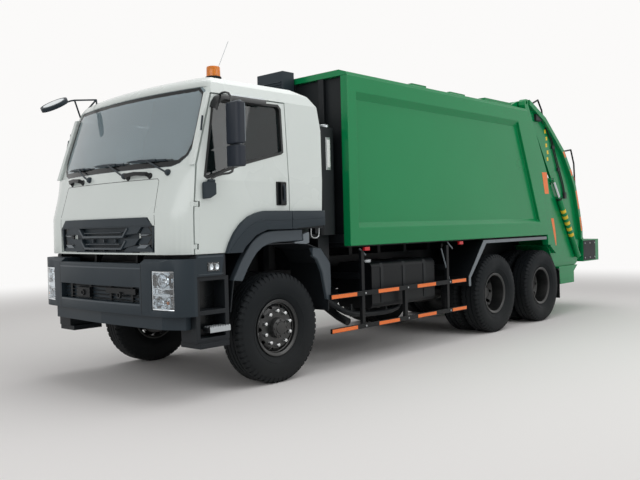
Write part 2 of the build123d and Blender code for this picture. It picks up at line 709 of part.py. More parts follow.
roof_cut_half = 1300.0
roof_bow = 180.0  # how far the roof's front edge curves back at the cutter's ends
roof_noses = (  # height, station of the front edge in the middle
    (2700.0, -930.0),
    (windshield_top + 2, -898.0),
    (2868.0, -850.0),
    (2915.0, -765.0),
    (cab_top + 20, -560.0),
)


def roof_plan(height, nose):
    """Sketch the roof's level outline, whose front edge has the windshield's curve."""
    rear = station(cab_rear + 100)
    with BuildSketch(Plane.XY.offset(height)) as outline:
        with BuildLine():
            ThreePointArc((-roof_cut_half, station(nose + roof_bow)), (0, station(nose)),
                          (roof_cut_half, station(nose + roof_bow)))
            Polyline((roof_cut_half, station(nose + roof_bow)), (roof_cut_half, rear), (-roof_cut_half, rear),
                     (-roof_cut_half, station(nose + roof_bow)))
        make_face()
    return outline.sketch


roof_levels = [roof_plan(*row) for row in roof_noses]
with BuildPart() as roof_space:
    for lower, upper in zip(roof_levels, roof_levels[1:]):
        loft([lower, upper], ruled=True)

roof_outer = [(cab_eaves_half_width, cab_eaves), (1118, 2838), (1040, 2898), (850, 2928), (0, cab_top)]
roof_inner = [(cab_eaves_half_width - cab_wall, cab_eaves - 5), (1072, 2800), (1000, 2848), (830, 2876), (0, 2890)]
with BuildPart() as cab_roof:
    front_outline(roof_outer + [(-across, up) for across, up in reversed(roof_outer[:-1])], (-1000, 760))
    front_outline(roof_inner + [(-across, up) for across, up in reversed(roof_inner[:-1])], (-720, cab_rear - 60),
                  mode=Mode.SUBTRACT)
    profile = [(-1000, cab_eaves), (-1000, cab_top + 1), (60, cab_top + 1), (310, 2905), (500, 2835),
               (cab_rear - 5, cab_eaves)]
    side_outline(profile, (-roof_cut_half, roof_cut_half), mode=Mode.INTERSECT)
    add(roof_space.part, mode=Mode.INTERSECT)
    add(glass_space.part, mode=Mode.SUBTRACT)
save(cab_roof, "cab_roof")

rear_wall_x = cab_half_width - cab_wall
with BuildPart() as cab_back:
    side_outline([(cab_rear - 50, cab_floor_top), (cab_rear, cab_floor_top), (cab_rear, 1690),
                  (cab_rear + 35, 2500), (cab_rear - 5, cab_eaves), (cab_rear - 55, cab_eaves),
                  (cab_rear - 15, 2500), (cab_rear - 50, 1690)], (-rear_wall_x, rear_wall_x))
    tapered = [(-rear_wall_x, 1000), (rear_wall_x, 1000), (rear_wall_x, cab_waist),
               (cab_eaves_half_width - cab_wall, cab_eaves), (-cab_eaves_half_width + cab_wall, cab_eaves),
               (-rear_wall_x, cab_waist)]
    front_outline(tapered, (cab_rear - 200, cab_rear + 200), mode=Mode.INTERSECT)
    block((-rear_window_half, rear_window_half), (cab_rear - 200, cab_rear + 200), rear_window_z, mode=Mode.SUBTRACT)
save(cab_back, "cab_back")

tilt_arm_x = (350.0, 380.0)
floor_door_gap = 13.0  # lets the opening door swing past the floor
with BuildPart() as cab_floor:
    floor_bottom = cab_floor_top - cab_floor_thickness
    toe_front = cab_nose + 136.5
    block((-rear_wall_x + floor_door_gap, rear_wall_x - floor_door_gap), (toe_front + 84, cab_rear),
          (floor_bottom, cab_floor_top))
    block((-870, 870), (toe_front, toe_front + 85), (floor_bottom, cab_floor_top))
    block((-420, 420), (-760, cab_rear - 60), (cab_floor_top, engine_cover_top))
    arm = [(pivot_along - 35, pivot_up), (pivot_along, pivot_up - 35), (pivot_along + 35, pivot_up - 20),
           (-985, 1300), (-985, floor_bottom), (-1070, floor_bottom), (-1070, 1300),
           (pivot_along + 74, pivot_up + 126), (pivot_along - 12, pivot_up + 35)]
    for name, side in sides:
        side_outline(arm, mirrored(tilt_arm_x, side))
        rod((side * 340, *tilt_pivot), (side * 400, *tilt_pivot), tilt_pin_radius + bearing_clearance,
            mode=Mode.SUBTRACT)
save(cab_floor, "cab_floor")

with BuildPart() as dashboard:
    side_outline([(-1000, 1560), (-880, 1560), (-760, 1800), (-740, 1960), (-900, 2040), (-1000, 2040)],
                 (-1110, 1110))
    side_outline([(-1076, 1560), (-999, 1560), (-999, 2040), (-1028, 2040), (-1076, 1660)], (-870, 870))
    rod((620, -860, 1900), (620, -600, 2010), 30)
    with Locations(Plane(origin=(620, station(-590), 2015), z_dir=(0, 1, 0.45))):
        Torus(215, 16)
        Cylinder(60, 50)
        Box(420, 40, 20)
save(dashboard, "dashboard")

seat_base = 1750.0
seat_rear = 160.0
seat_back_top = 2430.0
seat_rows = (  # middle, half width, pedestal's low and high side, pedestal's foot
    (620.0, 250.0, 440.0, 820.0, cab_floor_top),
    (-720.0, 225.0, -920.0, -450.0, cab_floor_top),
    (-240.0, 225.0, -410.0, -30.0, engine_cover_top),
)
with BuildPart() as seats:
    for middle, half, low, high, foot in seat_rows:
        block((middle - half, middle + half), (-330, seat_rear - seat_clearance), (seat_base, seat_base + 130))
        side_outline([(seat_rear, seat_base + 10), (seat_rear + 125, seat_base), (420, seat_back_top),
                      (330, seat_back_top)], (middle - half, middle + half))
        block((middle - 130, middle + 130), (345, 430), (seat_back_top + seat_clearance, 2600))
        block((low, high), (-280, 150), (foot, seat_base - seat_clearance))
save(seats, "seats")

# === roof beacon with the aerial ==================================================================================
beacon_station = -290.0
beacon_x = 600.0
beacon_seat = 2928.0
with BuildPart() as beacon:
    rod((beacon_x, beacon_station, beacon_seat), (beacon_x, beacon_station, 2975), 82)
    rod((beacon_x, beacon_station, 2975), (beacon_x, beacon_station, 3105), 66)
    fillet(beacon.edges().filter_by(GeomType.CIRCLE).sort_by(Axis.Z)[-1], 22)
    rod((430, -420, 2935), (430, -420, 2965), 22)
    rod((430, -420, 2960), (430, -250, 3440), 4)
with BuildPart() as beacon_cut:
    add(beacon.part)
    add(cab_roof.part, mode=Mode.SUBTRACT)
save(beacon_cut, "beacon")

# === blind-spot mirror on a braced frame at the right front corner of the roof ====================================
with BuildPart() as kerb_mirror:
    foot = (-1130, -768, 2775)
    front_top = (-1100, -850, 2955)
    rear_top = (-985, -655, 2965)
    ball = (-1085, -905, 2940)
    for first, second in ((foot, front_top), (foot, rear_top), (front_top, rear_top), (front_top, ball)):
        rod(first, second, 9)
    rod(rear_top, (rear_top[0], rear_top[1] + 10, 2880), 9)
    for joint in (front_top, rear_top, foot):
        with Locations((joint[0], station(joint[1]), joint[2])):
            Sphere(9)
    with BuildSketch(Plane(origin=(-1130, station(-1060), 2865), x_dir=(0.35, 1, 0.55), z_dir=(0.2, -0.55, 0.9))) as oval:
        Ellipse(150, 92)
    extrude(oval.sketch, amount=45)
    rod(ball, (-1110, -985, 2905), 9)
with BuildPart() as kerb_mirror_cut:
    add(kerb_mirror.part)
    add(cab_roof.part, mode=Mode.SUBTRACT)
    add(cab_sides.part, mode=Mode.SUBTRACT)
save(kerb_mirror_cut, "kerb_mirror")

# === doors, each with its window and its mirrors ==================================================================
mirror_x = (1290.0, 1470.0)
mirror_y = (-725.0, -650.0)
mirror_heads = ((2060.0, 2250.0), (2275.0, 2625.0))  # bottom and top of each head
mirror_tube_radius = 13.0
for name, side in sides:
    with BuildPart() as door:
        front_outline(cab_band(side), (-1100, 300))
        side_outline(door_outline, (-1300, 1300), mode=Mode.INTERSECT)
        flare = [(-520, cab_bottom), (-640, cab_bottom), (-480, cab_arch_height), (-330, cab_arch_height + 110),
                 (-190, cab_arch_height + flare_height), (door_rear, cab_arch_height + flare_height),
                 (door_rear, cab_arch_height), (-200, cab_arch_height), (-350, cab_arch_height - 50),
                 (-480, cab_arch_height - 150)]
        side_outline(flare, mirrored((cab_half_width - 1, cab_half_width + flare_stand_out), side))
        side_outline(window_outline, (-1300, 1300), mode=Mode.SUBTRACT)
        block(mirrored((cab_half_width - 1, cab_half_width + 30), side), (-5, 60), (1735, 1945))
        for low, high in hinge_leaves:
            rod(on_door_hinge(low - hinge_end_gap, side), on_door_hinge(high + hinge_end_gap, side),
                hinge_notch_radius, mode=Mode.SUBTRACT)
            rod(on_door_hinge(low - hinge_pin_length - hinge_end_gap, side),
                on_door_hinge(high + hinge_pin_length + hinge_end_gap, side),
                hinge_pin_radius + bearing_clearance, mode=Mode.SUBTRACT)
    save(door, f"door_{name}")
    with BuildPart() as pane:
        front_outline(cab_band(side, (cab_wall - glass_thickness) / 2), (-1100, 300))
        side_outline(window_outline, (-1300, 1300), mode=Mode.INTERSECT)
    save(pane, f"door_glass_{name}")
    with BuildPart() as mirror:
        block(mirrored((cab_half_width, cab_half_width + 40), side), (-925, -795), (1780, 1930))
        for heights in mirror_heads:
            block(mirrored(mirror_x, side), mirror_y, heights)
        stem_x = side * (mirror_x[0] + 35)
        stem = [(side * 1225, -860, 1925), (side * 1235, -850, 1965), (stem_x, -715, 2030), (stem_x, -687, 2065),
                (stem_x, -687, 2650), (side * 1150, -695, 2700)]
        for first, second in zip(stem, stem[1:]):
            rod(first, second, mirror_tube_radius)
        for elbow in stem[1:-1]:
            with Locations((elbow[0], station(elbow[1]), elbow[2])):
                Sphere(mirror_tube_radius)
        add(door.part, mode=Mode.SUBTRACT)
    save(mirror, f"mirror_{name}")

# === steering knuckles: kingpin, two ears, yoke and stub axle =====================================================
ear_gap = 3.0
ear_thickness = 38.0
for name, side in sides:
    with BuildPart() as knuckle:
        low_ear = axle_height - eye_half_height - ear_gap
        high_ear = axle_height + eye_half_height + ear_gap
        pin = (side * kingpin_x, 0)
        rod((*pin, low_ear - ear_thickness), (*pin, high_ear + ear_thickness), kingpin_radius)
        for base in (low_ear - ear_thickness, high_ear):
            rod((*pin, base), (*pin, base + ear_thickness), 46)
            block(mirrored((kingpin_x, kingpin_x + 72), side), (-46, 46), (base, base + ear_thickness))
        block(mirrored((kingpin_x + 52, kingpin_x + 72), side), (-60, 60),
              (low_ear - ear_thickness, high_ear + ear_thickness))
        rod((side * (kingpin_x + 70), 0, axle_height), (side * (front_track / 2 + 60), 0, axle_height), stub_radius)
    save(knuckle, f"knuckle_{name}")

# === wheels =======================================================================================================
half_rim = rim_width / 2
half_tyre = tyre_width / 2
rim_inner = bead_radius - rim_wall
tyre_profile = [  # half of the tyre's section: offset from its middle, radius
    (half_rim - 20, bead_radius + seat_clearance),
    (half_rim - 14, rim_flange_radius + 6),
    (half_tyre, 0.62 * tyre_radius + 0.38 * bead_radius - 20),
    (half_tyre - 14, tyre_radius - 45),
    (tread_width / 2, tyre_radius),
]
rim_profile = [  # the whole rim's section, from the flange's lip to the well and back inside
    (-half_rim, rim_flange_radius),
    (-half_rim + 9, rim_flange_radius),
    (-half_rim + 18, bead_radius),
    (half_rim - 18, bead_radius),
    (half_rim - 9, rim_flange_radius),
    (half_rim, rim_flange_radius),
    (half_rim, rim_flange_radius - rim_wall),
    (half_rim - 10, rim_inner),
    (-half_rim + 10, rim_inner),
    (-half_rim, rim_flange_radius - rim_wall),
]


def whole_tyre(middle):
    """The tyre's closed section about a middle offset."""
    right = [(middle + across, out) for across, out in tyre_profile]
    left = [(middle - across, out) for across, out in reversed(tyre_profile)]
    return right + left


def wheel_holes(x, along, depth):
    """Cut the ring of hand holes through a wheel's disc."""
    with BuildSketch(Plane.YZ.offset(x)) as ring:
        with Locations((station(along), axle_height)):
            with PolarLocations(hand_hole_circle, wheel_studs):
                Circle(hand_hole_radius)
    extrude(ring.sketch, amount=depth, both=True, mode=Mode.SUBTRACT)


def wheel_studs_on(x, along, length):
    """Add the ring of wheel studs with their nuts."""
    with BuildSketch(Plane.YZ.offset(x)) as ring:
        with Locations((station(along), axle_height)):
            with PolarLocations(stud_circle_radius, wheel_studs, start_angle=18):
                Circle(stud_radius + 6)
    extrude(ring.sketch, amount=length)


for name, side in sides:
    middle = side * front_track / 2
    with BuildPart() as tyre:
        wheel_ring(whole_tyre(0), middle, 0, axle_height)
    save(tyre, f"front_tyre_{name}")
    disc_profile = [(24, rim_inner + 1), (42, rim_inner + 1), (80, 198), (80, 60), (68, 60), (68, 190)]
    hub_profile = [(-115, stub_radius + bearing_clearance), (-115, drum_radius), (-20, drum_radius), (-20, 130),
                   (70, 130), (80, 104), (132, 92), (140, 70), (140, 0), (75, 0),
                   (75, stub_radius + bearing_clearance)]
    with BuildPart() as wheel:
        for profile in (rim_profile, disc_profile, hub_profile):
            wheel_ring([(side * across, out) for across, out in profile], middle, 0, axle_height)
        wheel_holes(middle + side * 70, 0, 70)
        wheel_studs_on(middle + side * 79, 0, side * 33)
    save(wheel, f"front_wheel_{name}")

for number, along in enumerate(rear_stations, start=1):
    for name, side in sides:
        middle = side * dual_track / 2
        apart = dual_spacing / 2
        with BuildPart() as tyre:
            for offset_x in (-apart, apart):
                wheel_ring(whole_tyre(offset_x), middle, along, axle_height)
        save(tyre, f"rear_tyre_{number}_{name}")
        disc_profile = [(0, 60), (0, 205), (58, rim_inner + 1), (78, rim_inner + 1), (14, 198), (14, 60)]
        hub_profile = [(-160, stub_radius + bearing_clearance), (-160, drum_radius - 10), (-75, drum_radius - 10),
                       (-60, 120), (60, 120), (112, 96), (128, 70), (128, 0), (66, 0),
                       (66, stub_radius + bearing_clearance)]
        with BuildPart() as wheel:
            for offset_x in (-apart, apart):
                wheel_ring([(offset_x + across, out) for across, out in rim_profile], middle, along, axle_height)
            for flip in (-1, 1):
                wheel_ring([(flip * across, out) for across, out in disc_profile], middle, along, axle_height)
            wheel_ring([(side * across, out) for across, out in hub_profile], middle, along, axle_height)
            wheel_holes(middle, along, 60)
            wheel_studs_on(middle + side * 13, along, side * 36)
        save(wheel, f"rear_wheel_{number}_{name}")

# === tailgate: side plates with rims, hood and hopper =============================================================
slide_down = (cos(radians(slide_angle)), -sin(radians(slide_angle)))  # station and height of one step down


def along_slide(start, distance, out=0.0):
    """A (station, height) point at a distance down the packer's guides, and out to the rear of them."""
    return (start[0] + slide_down[0] * distance - slide_down[1] * out,
            start[1] + slide_down[1] * distance + slide_down[0] * out)


tail_front = [(rear_slant(1120) + seal_gap, 1120), (rear_slant(3215) + seal_gap, 3215)]
hinge_corner = [(hinge_station - 50, hinge_height + 20), (hinge_station - 25, hinge_height + 50)]
tail_back = [(5160, 3305), (5675, 3085), (6300, 2615), (6564, 2290), (6705, 2065), (6840, 1670), (6925, 1370),
             (sill_station, sill_height)]
box_seam = 785.0  # height of the seam over the hopper's low box
tail_rear = [*hinge_corner, *tail_back, (6810, 820), (6743, box_seam), (6018, box_seam)]
rim_depth = 70.0
ear_low = (5900.0, 2140.0)  # the packer cylinder's eye, lowered
slot_half = 45.0
tub_hinge = (sill_station + 32.0, sill_height + 15.0)  # station and height
tub_pin_radius = 14.0
with BuildPart() as tailgate_sides:
    for name, side in sides:
        plate = mirrored(tailgate_plate, side)
        rim = mirrored((tailgate_plate[0], tailgate_half_width + 15), side)
        side_outline(tail_front + tail_rear, plate)
        front_flange = [*tail_front, *hinge_corner, (5100, 3300), (5110, 3216), (5665, 2255), (5867, 1443),
                        (5930, 1000)]
        side_outline(front_flange, rim)
        inner_edge = [(5160, 3230), (5637, 3025), (6246, 2567), (6504, 2250), (6640, 2035), (6772, 1645),
                      (6856, 1355), (6860, 1200)]
        side_outline([*tail_back, *reversed(inner_edge)], rim)
        low_box = [(6018, box_seam - seat_clearance), (6700, box_seam - seat_clearance), (6560, 690), (6560, 510),
                   (6060, 510)]
        side_outline(low_box, mirrored((tailgate_plate[0], tailgate_half_width + 15), side))
        slot = [along_slide(ear_low, 60, -slot_half), along_slide(ear_low, 60, slot_half),
                along_slide(ear_low, -packer_travel - 60, slot_half),
                along_slide(ear_low, -packer_travel - 60, -slot_half)]
        side_outline(slot, mirrored((tailgate_plate[0] - 5, tailgate_half_width + 60), side), mode=Mode.SUBTRACT)
        rod((side * 1050, hinge_station, hinge_height), (side * 1300, hinge_station, hinge_height),
            hinge_radius + bearing_clearance, mode=Mode.SUBTRACT)
        lug_z = (tub_hinge[1] - 24, tub_hinge[1] + 24)
        block(plate, (sill_station - 40, tub_hinge[0]), lug_z)
        rod((side * tailgate_plate[0], *tub_hinge), (side * tailgate_plate[1], *tub_hinge), 24)
        rod((side * (tailgate_plate[0] - 5), *tub_hinge), (side * (tailgate_plate[1] + 5), *tub_hinge),
            tub_pin_radius + bearing_clearance, mode=Mode.SUBTRACT)
save(tailgate_sides, "tailgate_sides")

shell_x = (-tailgate_plate[0], tailgate_plate[0])
with BuildPart() as tailgate_shell:
    bent_sheet(tail_back[:4], -30, shell_x)
    bent_sheet([(sill_station, sill_height), (6810, 820), (6550, 690), (6300, 640), (6120, 690), (6018, 785),
                tail_front[0]], -30, shell_x)
    bent_sheet([(6560, 686), (6560, 510), (6060, 510), (6021, 770)], -14, shell_x)
save(tailgate_shell, "tailgate_shell")

gland = along_slide(ear_low, 330)
barrel_end = along_slide(ear_low, 1500)
with BuildPart() as packer_barrels:
    for name, side in sides:
        rod((side * cylinder_x, *gland), (side * cylinder_x, *barrel_end), cylinder_radius)
        rod((side * cylinder_x, *gland), (side * cylinder_x, *along_slide(ear_low, 1450)),
            piston_rod_radius + bearing_clearance, mode=Mode.SUBTRACT)
        foot = along_slide(ear_low, 1470)
        rod((side * tailgate_plate[1], *foot), (side * cylinder_x, *foot), 40)
save(packer_barrels, "packer_barrels")

with BuildPart() as grab_rails:
    for name, side in sides:
        x = side * 1185
        for path in (
            [(6280, 2605), (6600, 2651), (6703, 2428), (6725, 2086), (6690, 1990)],
            [(5250, 3250), (5476, 3336), (5595, 3193), (5620, 3080)],
        ):
            for first, second in zip(path, path[1:]):
                rod((x, *first), (x, *second), 13)
            with Locations(*[(x, station(along), up) for along, up in path[1:-1]]):
                Sphere(13)
with BuildPart() as grab_rails_cut:
    add(grab_rails.part)
    add(tailgate_sides.part, mode=Mode.SUBTRACT)
save(grab_rails_cut, "grab_rails")

# === packer: the slide with its rods, and the blade ===============================================================
with BuildPart() as packer_slide:
    slab = [along_slide(packer_hinge, -62, -60), along_slide(packer_hinge, -62, 60),
            along_slide(packer_hinge, -920, 60), along_slide(packer_hinge, -920, -60)]
    side_outline(slab, (-packer_half_width, packer_half_width))
    for name, side in sides:
        ear = [along_slide(packer_hinge, 40, -40), along_slide(packer_hinge, 40, 40),
               along_slide(packer_hinge, -80, 50), along_slide(packer_hinge, -80, -50)]
        side_outline(ear, mirrored((1015, 1060), side))
        rod((side * 960, *packer_hinge), (side * 1050, *packer_hinge), 22)
        for shoe in (-850, -200):
            pad = [along_slide(packer_hinge, shoe, -50), along_slide(packer_hinge, shoe, 30),
                   along_slide(packer_hinge, shoe + 80, 30), along_slide(packer_hinge, shoe + 80, -50)]
            side_outline(pad, mirrored((packer_half_width - 1, tailgate_plate[0] - seat_clearance), side))
        arm = [along_slide(ear_low, -45, -260), along_slide(ear_low, 45, -260), along_slide(ear_low, 36, 0),
               along_slide(ear_low, -36, 0)]
        side_outline(arm, mirrored((1040, packer_half_width), side))
        rod((side * 1050, *ear_low), (side * (cylinder_x + 30), *ear_low), 35)
        rod((side * cylinder_x, *ear_low), (side * cylinder_x, *along_slide(ear_low, 1400)), piston_rod_radius)
save(packer_slide, "packer_slide")

blade_closed = -15.0  # degrees forward of straight down
blade_reach = 680.0


def from_blade_hinge(distance, out):
    """A (station, height) point down the closed blade, and out to the rear of it."""
    down = (sin(radians(blade_closed)), -cos(radians(blade_closed)))
    return (packer_hinge[0] + down[0] * distance - down[1] * out, packer_hinge[1] + down[1] * distance + down[0] * out)


with BuildPart() as packer_blade:
    rod((-1005, *packer_hinge), (1005, *packer_hinge), 45)
    side_outline([from_blade_hinge(0, -30), from_blade_hinge(blade_reach - 60, -30), from_blade_hinge(blade_reach, -8),
                  from_blade_hinge(blade_reach, 8), from_blade_hinge(blade_reach - 60, 30), from_blade_hinge(0, 30)],
                 (-1005, 1005))
    rod((-1020, *packer_hinge), (1020, *packer_hinge), 22 + bearing_clearance, mode=Mode.SUBTRACT)
save(packer_blade, "packer_blade")

# === loading tub on the hopper's sill =============================================================================
tub_floor = 820.0
tub_lip = sill_station + tub_depth
tub_inner_x = tailgate_plate[1] + 3
with BuildPart() as loading_tub:
    side_outline([(tub_hinge[0], tub_floor), (tub_lip, tub_floor), (tub_lip, sill_height),
                  (tub_hinge[0], sill_height)], (-tailgate_half_width, tailgate_half_width))
    side_outline([(tub_hinge[0] - 60, tub_floor + 40), (tub_lip - 40, tub_floor + 40), (tub_lip - 40, 1300),
                  (tub_hinge[0] - 60, 1300)], (-tub_inner_x, tub_inner_x), mode=Mode.SUBTRACT)
    for name, side in sides:
        rod((side * tub_inner_x, *tub_hinge), (side * tailgate_half_width, *tub_hinge), 24)
        rod((side * (tailgate_plate[0] + 2), *tub_hinge), (side * tailgate_half_width, *tub_hinge), tub_pin_radius)
save(loading_tub, "loading_tub")
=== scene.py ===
"""Looks of a rear-loading garbage truck, built around its packed construction.

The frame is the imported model's: +X is the truck's left side, +Y runs rearwards and +Z is up, in metres, with
the origin on the ground. Places along the truck are stations, measured rearwards from the front axle, as in
the part. Every finish is a Finish, every group of pieces is a SubAssembly, and main() builds them in order.
"""

import logging
import math
from collections.abc import Iterable, Sequence
from dataclasses import dataclass
from enum import Enum

import bmesh
import bpy
from mathutils import Matrix, Vector
from mathutils.bvhtree import BVHTree


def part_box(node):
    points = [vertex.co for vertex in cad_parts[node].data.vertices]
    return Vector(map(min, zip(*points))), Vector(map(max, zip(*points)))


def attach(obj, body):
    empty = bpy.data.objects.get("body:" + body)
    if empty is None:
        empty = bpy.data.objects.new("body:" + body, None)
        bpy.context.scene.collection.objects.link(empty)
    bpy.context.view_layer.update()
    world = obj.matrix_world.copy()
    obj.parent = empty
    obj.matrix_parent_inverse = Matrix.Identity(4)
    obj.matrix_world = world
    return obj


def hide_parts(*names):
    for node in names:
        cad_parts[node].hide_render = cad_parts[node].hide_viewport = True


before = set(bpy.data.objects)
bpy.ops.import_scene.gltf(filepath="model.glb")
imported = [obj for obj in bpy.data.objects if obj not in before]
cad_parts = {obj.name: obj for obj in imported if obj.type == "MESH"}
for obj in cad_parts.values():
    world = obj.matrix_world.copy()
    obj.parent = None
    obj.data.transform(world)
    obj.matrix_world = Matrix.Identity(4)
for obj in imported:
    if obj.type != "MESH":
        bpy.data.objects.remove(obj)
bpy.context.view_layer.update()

log = logging.getLogger("garbage_truck")
Point = Sequence[float]
SIDES = (("left", 1), ("right", -1))
OUT = {"left": Vector((1, 0, 0)), "right": Vector((-1, 0, 0))}  # the way out of each side
AHEAD = Vector((0, -1, 0))


# === finishes ===========================================================================
class Pattern(Enum):
    """How a surface's fine relief is made."""

    PLAIN = "plain"  # float glass or a polished face
    ORANGE_PEEL = "orange peel"  # sprayed enamel
    GRAINED = "grained"  # the etched grain of a plastic mould
    CAST = "cast"  # sand casting or moulded rubber
    BRUSHED = "brushed"  # long fine scratches one way
    WOVEN = "woven"  # threads over and under
    RIBBED = "ribbed"  # prisms of a lens or a reflective sheet


def linear(colour: str) -> tuple[float, float, float, float]:
    """Turn an sRGB hex colour into Blender's linear values.

    Args:
        colour: The colour as "#rrggbb".

    Returns:
        Linear red, green, blue and an alpha of 1.
    """
    shares = [int(colour[i:i + 2], 16) / 255 for i in (1, 3, 5)]
    red, green, blue = (s / 12.92 if s <= 0.04045 else ((s + 0.055) / 1.055) ** 2.4 for s in shares)
    return red, green, blue, 1.0


def empty_tree(owner: bpy.types.Material | bpy.types.World) -> bpy.types.NodeTree:
    """Return the node tree of a material or world, with no nodes in it."""
    owner.use_nodes = True
    owner.node_tree.nodes.clear()
    return owner.node_tree


def add_object(name: str, data: bpy.types.ID) -> bpy.types.Object:
    """Add an object that holds a mesh, a light or a camera to the scene."""
    made = bpy.data.objects.new(name, data)
    bpy.context.scene.collection.objects.link(made)
    return made


def add_node(tree: bpy.types.NodeTree, kind: str, inputs: dict | None = None,
             **settings: object) -> bpy.types.Node:
    """Add a node with its settings, values and links.

    Args:
        tree: The node tree that gets the node.
        kind: The node's type name, such as "ShaderNodeBump".
        inputs: Values by input name or index; an output socket is linked instead.
        settings: Properties of the node itself.

    Returns:
        The new node.
    """
    node = tree.nodes.new(kind)
    for key, value in settings.items():
        setattr(node, key, value)
    for key, value in (inputs or {}).items():
        if isinstance(value, bpy.types.NodeSocket):
            tree.links.new(value, node.inputs[key])
        else:
            node.inputs[key].default_value = value
    return node


DUST_HEIGHT = 0.9  # road dust thins out up to here, in metres
ROAD_DUST = "#8b8579"
PATCH_EDGE = (0.35, 0.7)  # noise values between which a patch fades in
WEAR_EDGE = (0.3, 0.7)  # noise values between which the roughness changes
WEAR = 0.15  # how far the roughness strays, as a share of itself
BUMP_STRENGTH = 0.6
WAVE_PHASE = 20.0  # radians that a wave texture's phase runs for each unit of its scaled coordinate
SCRATCH_STRETCH = (1.0, 0.04, 1.0)  # draws brushed scratches out along Y


@dataclass(frozen=True)
class Finish:
    """A real material and how its surface was made.

    Args:
        name: Its common name, which is also the material's.
        slot: The record's slot that it belongs to; not used.
        colour: Its own colour, as sRGB hex.
        patch: The colour that it drifts towards in soft patches.
        patch_mm: Size of those patches.
        patch_share: How far the patches go, from 0 to 1.
        roughness: Microscopic roughness.
        pattern: How the fine relief is made.
        pattern_mm: Real spacing of the relief.
        relief_mm: Real depth of the relief.
        metallic: 1 on bare metal.
        ior: Index of refraction, left at 1.5 on metals.
        coat: Share of clear lacquer on top.
        coat_roughness: Roughness of that lacquer.
        transmission: Share of light that passes through.
        sheen: Soft fibre sheen.
        dust: How strongly road dust greys it near the ground.
        specular: How strongly its bare surface reflects, 0.5 being that of its index.
    """

    name: str
    slot: str
    colour: str
    patch: str
    patch_mm: float = 700.0
    patch_share: float = 0.35
    roughness: float = 0.4
    pattern: Pattern = Pattern.PLAIN
    pattern_mm: float = 4.0
    relief_mm: float = 0.02
    metallic: float = 0.0
    ior: float = 1.5
    coat: float = 0.0
    coat_roughness: float = 0.04
    transmission: float = 0.0
    sheen: float = 0.0
    dust: float = 0.0
    specular: float = 0.5

    def relief(self, tree: bpy.types.NodeTree, place: bpy.types.NodeSocket) -> bpy.types.NodeSocket | None:
        """Add the texture that gives the fine relief.

        Args:
            tree: The material's node tree.
            place: Coordinates in metres.

        Returns:
            A height socket, or None on a plain surface.
        """
        per_metre = 1000 / self.pattern_mm
        if self.pattern is Pattern.PLAIN:
            return None
        if self.pattern is Pattern.WOVEN:
            warp, weft = (
                add_node(tree, "ShaderNodeTexWave", {"Vector": place, "Scale": per_metre / WAVE_PHASE},
                         bands_direction=way).outputs["Fac"]
                for way in ("Y", "Z")
            )
            return add_node(tree, "ShaderNodeMath", {0: warp, 1: weft}, operation="MAXIMUM").outputs[0]
        if self.pattern is Pattern.RIBBED:
            return add_node(tree, "ShaderNodeTexWave", {"Vector": place, "Scale": per_metre / WAVE_PHASE},
                            bands_direction="DIAGONAL").outputs["Fac"]
        if self.pattern is Pattern.BRUSHED:
            place = add_node(tree, "ShaderNodeVectorMath", {0: place, 1: SCRATCH_STRETCH},
                             operation="MULTIPLY").outputs[0]
        detail = 2.0 if self.pattern is Pattern.ORANGE_PEEL else 5.0
        return add_node(tree, "ShaderNodeTexNoise", {
            "Vector": place, "Scale": per_metre, "Detail": detail,
        }).outputs[0]

    def material(self) -> bpy.types.Material:
        """Return this finish's material, made on first use."""
        found = bpy.data.materials.get(self.name)
        if found:
            return found
        made = bpy.data.materials.new(self.name)
        tree = empty_tree(made)
        place = add_node(tree, "ShaderNodeTexCoord").outputs["Object"]
        patches = add_node(tree, "ShaderNodeTexNoise",
                           {"Vector": place, "Scale": 1000 / self.patch_mm, "Detail": 3.0}).outputs[0]
        share = add_node(tree, "ShaderNodeMapRange", {
            "Value": patches, "From Min": PATCH_EDGE[0], "From Max": PATCH_EDGE[1],
            "To Max": self.patch_share,
        }).outputs[0]
        tint = add_node(tree, "ShaderNodeMix", {
            "Factor": share, 6: linear(self.colour), 7: linear(self.patch),
        }, data_type="RGBA").outputs[2]
        if self.dust:
            height = add_node(tree, "ShaderNodeSeparateXYZ", {0: place}).outputs["Z"]
            low = add_node(tree, "ShaderNodeMapRange", {
                "Value": height, "From Min": DUST_HEIGHT, "From Max": 0.0, "To Max": self.dust,
            }).outputs[0]
            settled = add_node(tree, "ShaderNodeMath", {0: low, 1: patches}, operation="MULTIPLY").outputs[0]
            tint = add_node(tree, "ShaderNodeMix", {"Factor": settled, 6: tint, 7: linear(ROAD_DUST)},
                            data_type="RGBA").outputs[2]
        rough = add_node(tree, "ShaderNodeMapRange", {
            "Value": patches, "From Min": WEAR_EDGE[0], "From Max": WEAR_EDGE[1],
            "To Min": self.roughness * (1 - WEAR), "To Max": min(1.0, self.roughness * (1 + WEAR)),
        }).outputs[0]
        shader = add_node(tree, "ShaderNodeBsdfPrincipled", {
            "Base Color": tint, "Roughness": rough, "Metallic": self.metallic, "IOR": self.ior,
            "Coat Weight": self.coat, "Coat Roughness": self.coat_roughness,
            "Transmission Weight": self.transmission, "Sheen Weight": self.sheen,
            "Specular IOR Level": self.specular,
        })
        height = self.relief(tree, place)
        if height is not None:
            bump = add_node(tree, "ShaderNodeBump", {
                "Height": height, "Strength": BUMP_STRENGTH, "Distance": self.relief_mm / 1000,
            })
            tree.links.new(bump.outputs[0], shader.inputs["Normal"])
        add_node(tree, "ShaderNodeOutputMaterial", {"Surface": shader.outputs[0]})
        return made


# Two-pack enamel on pressed steel, sprayed: a white gloss with a faint orange peel.
CAB_ENAMEL = Finish("White cab enamel", "cab_paint", "#d9e1de", "#d0d9d5", roughness=0.3, coat=0.3,
                    pattern=Pattern.ORANGE_PEEL, pattern_mm=6.0, relief_mm=0.03)
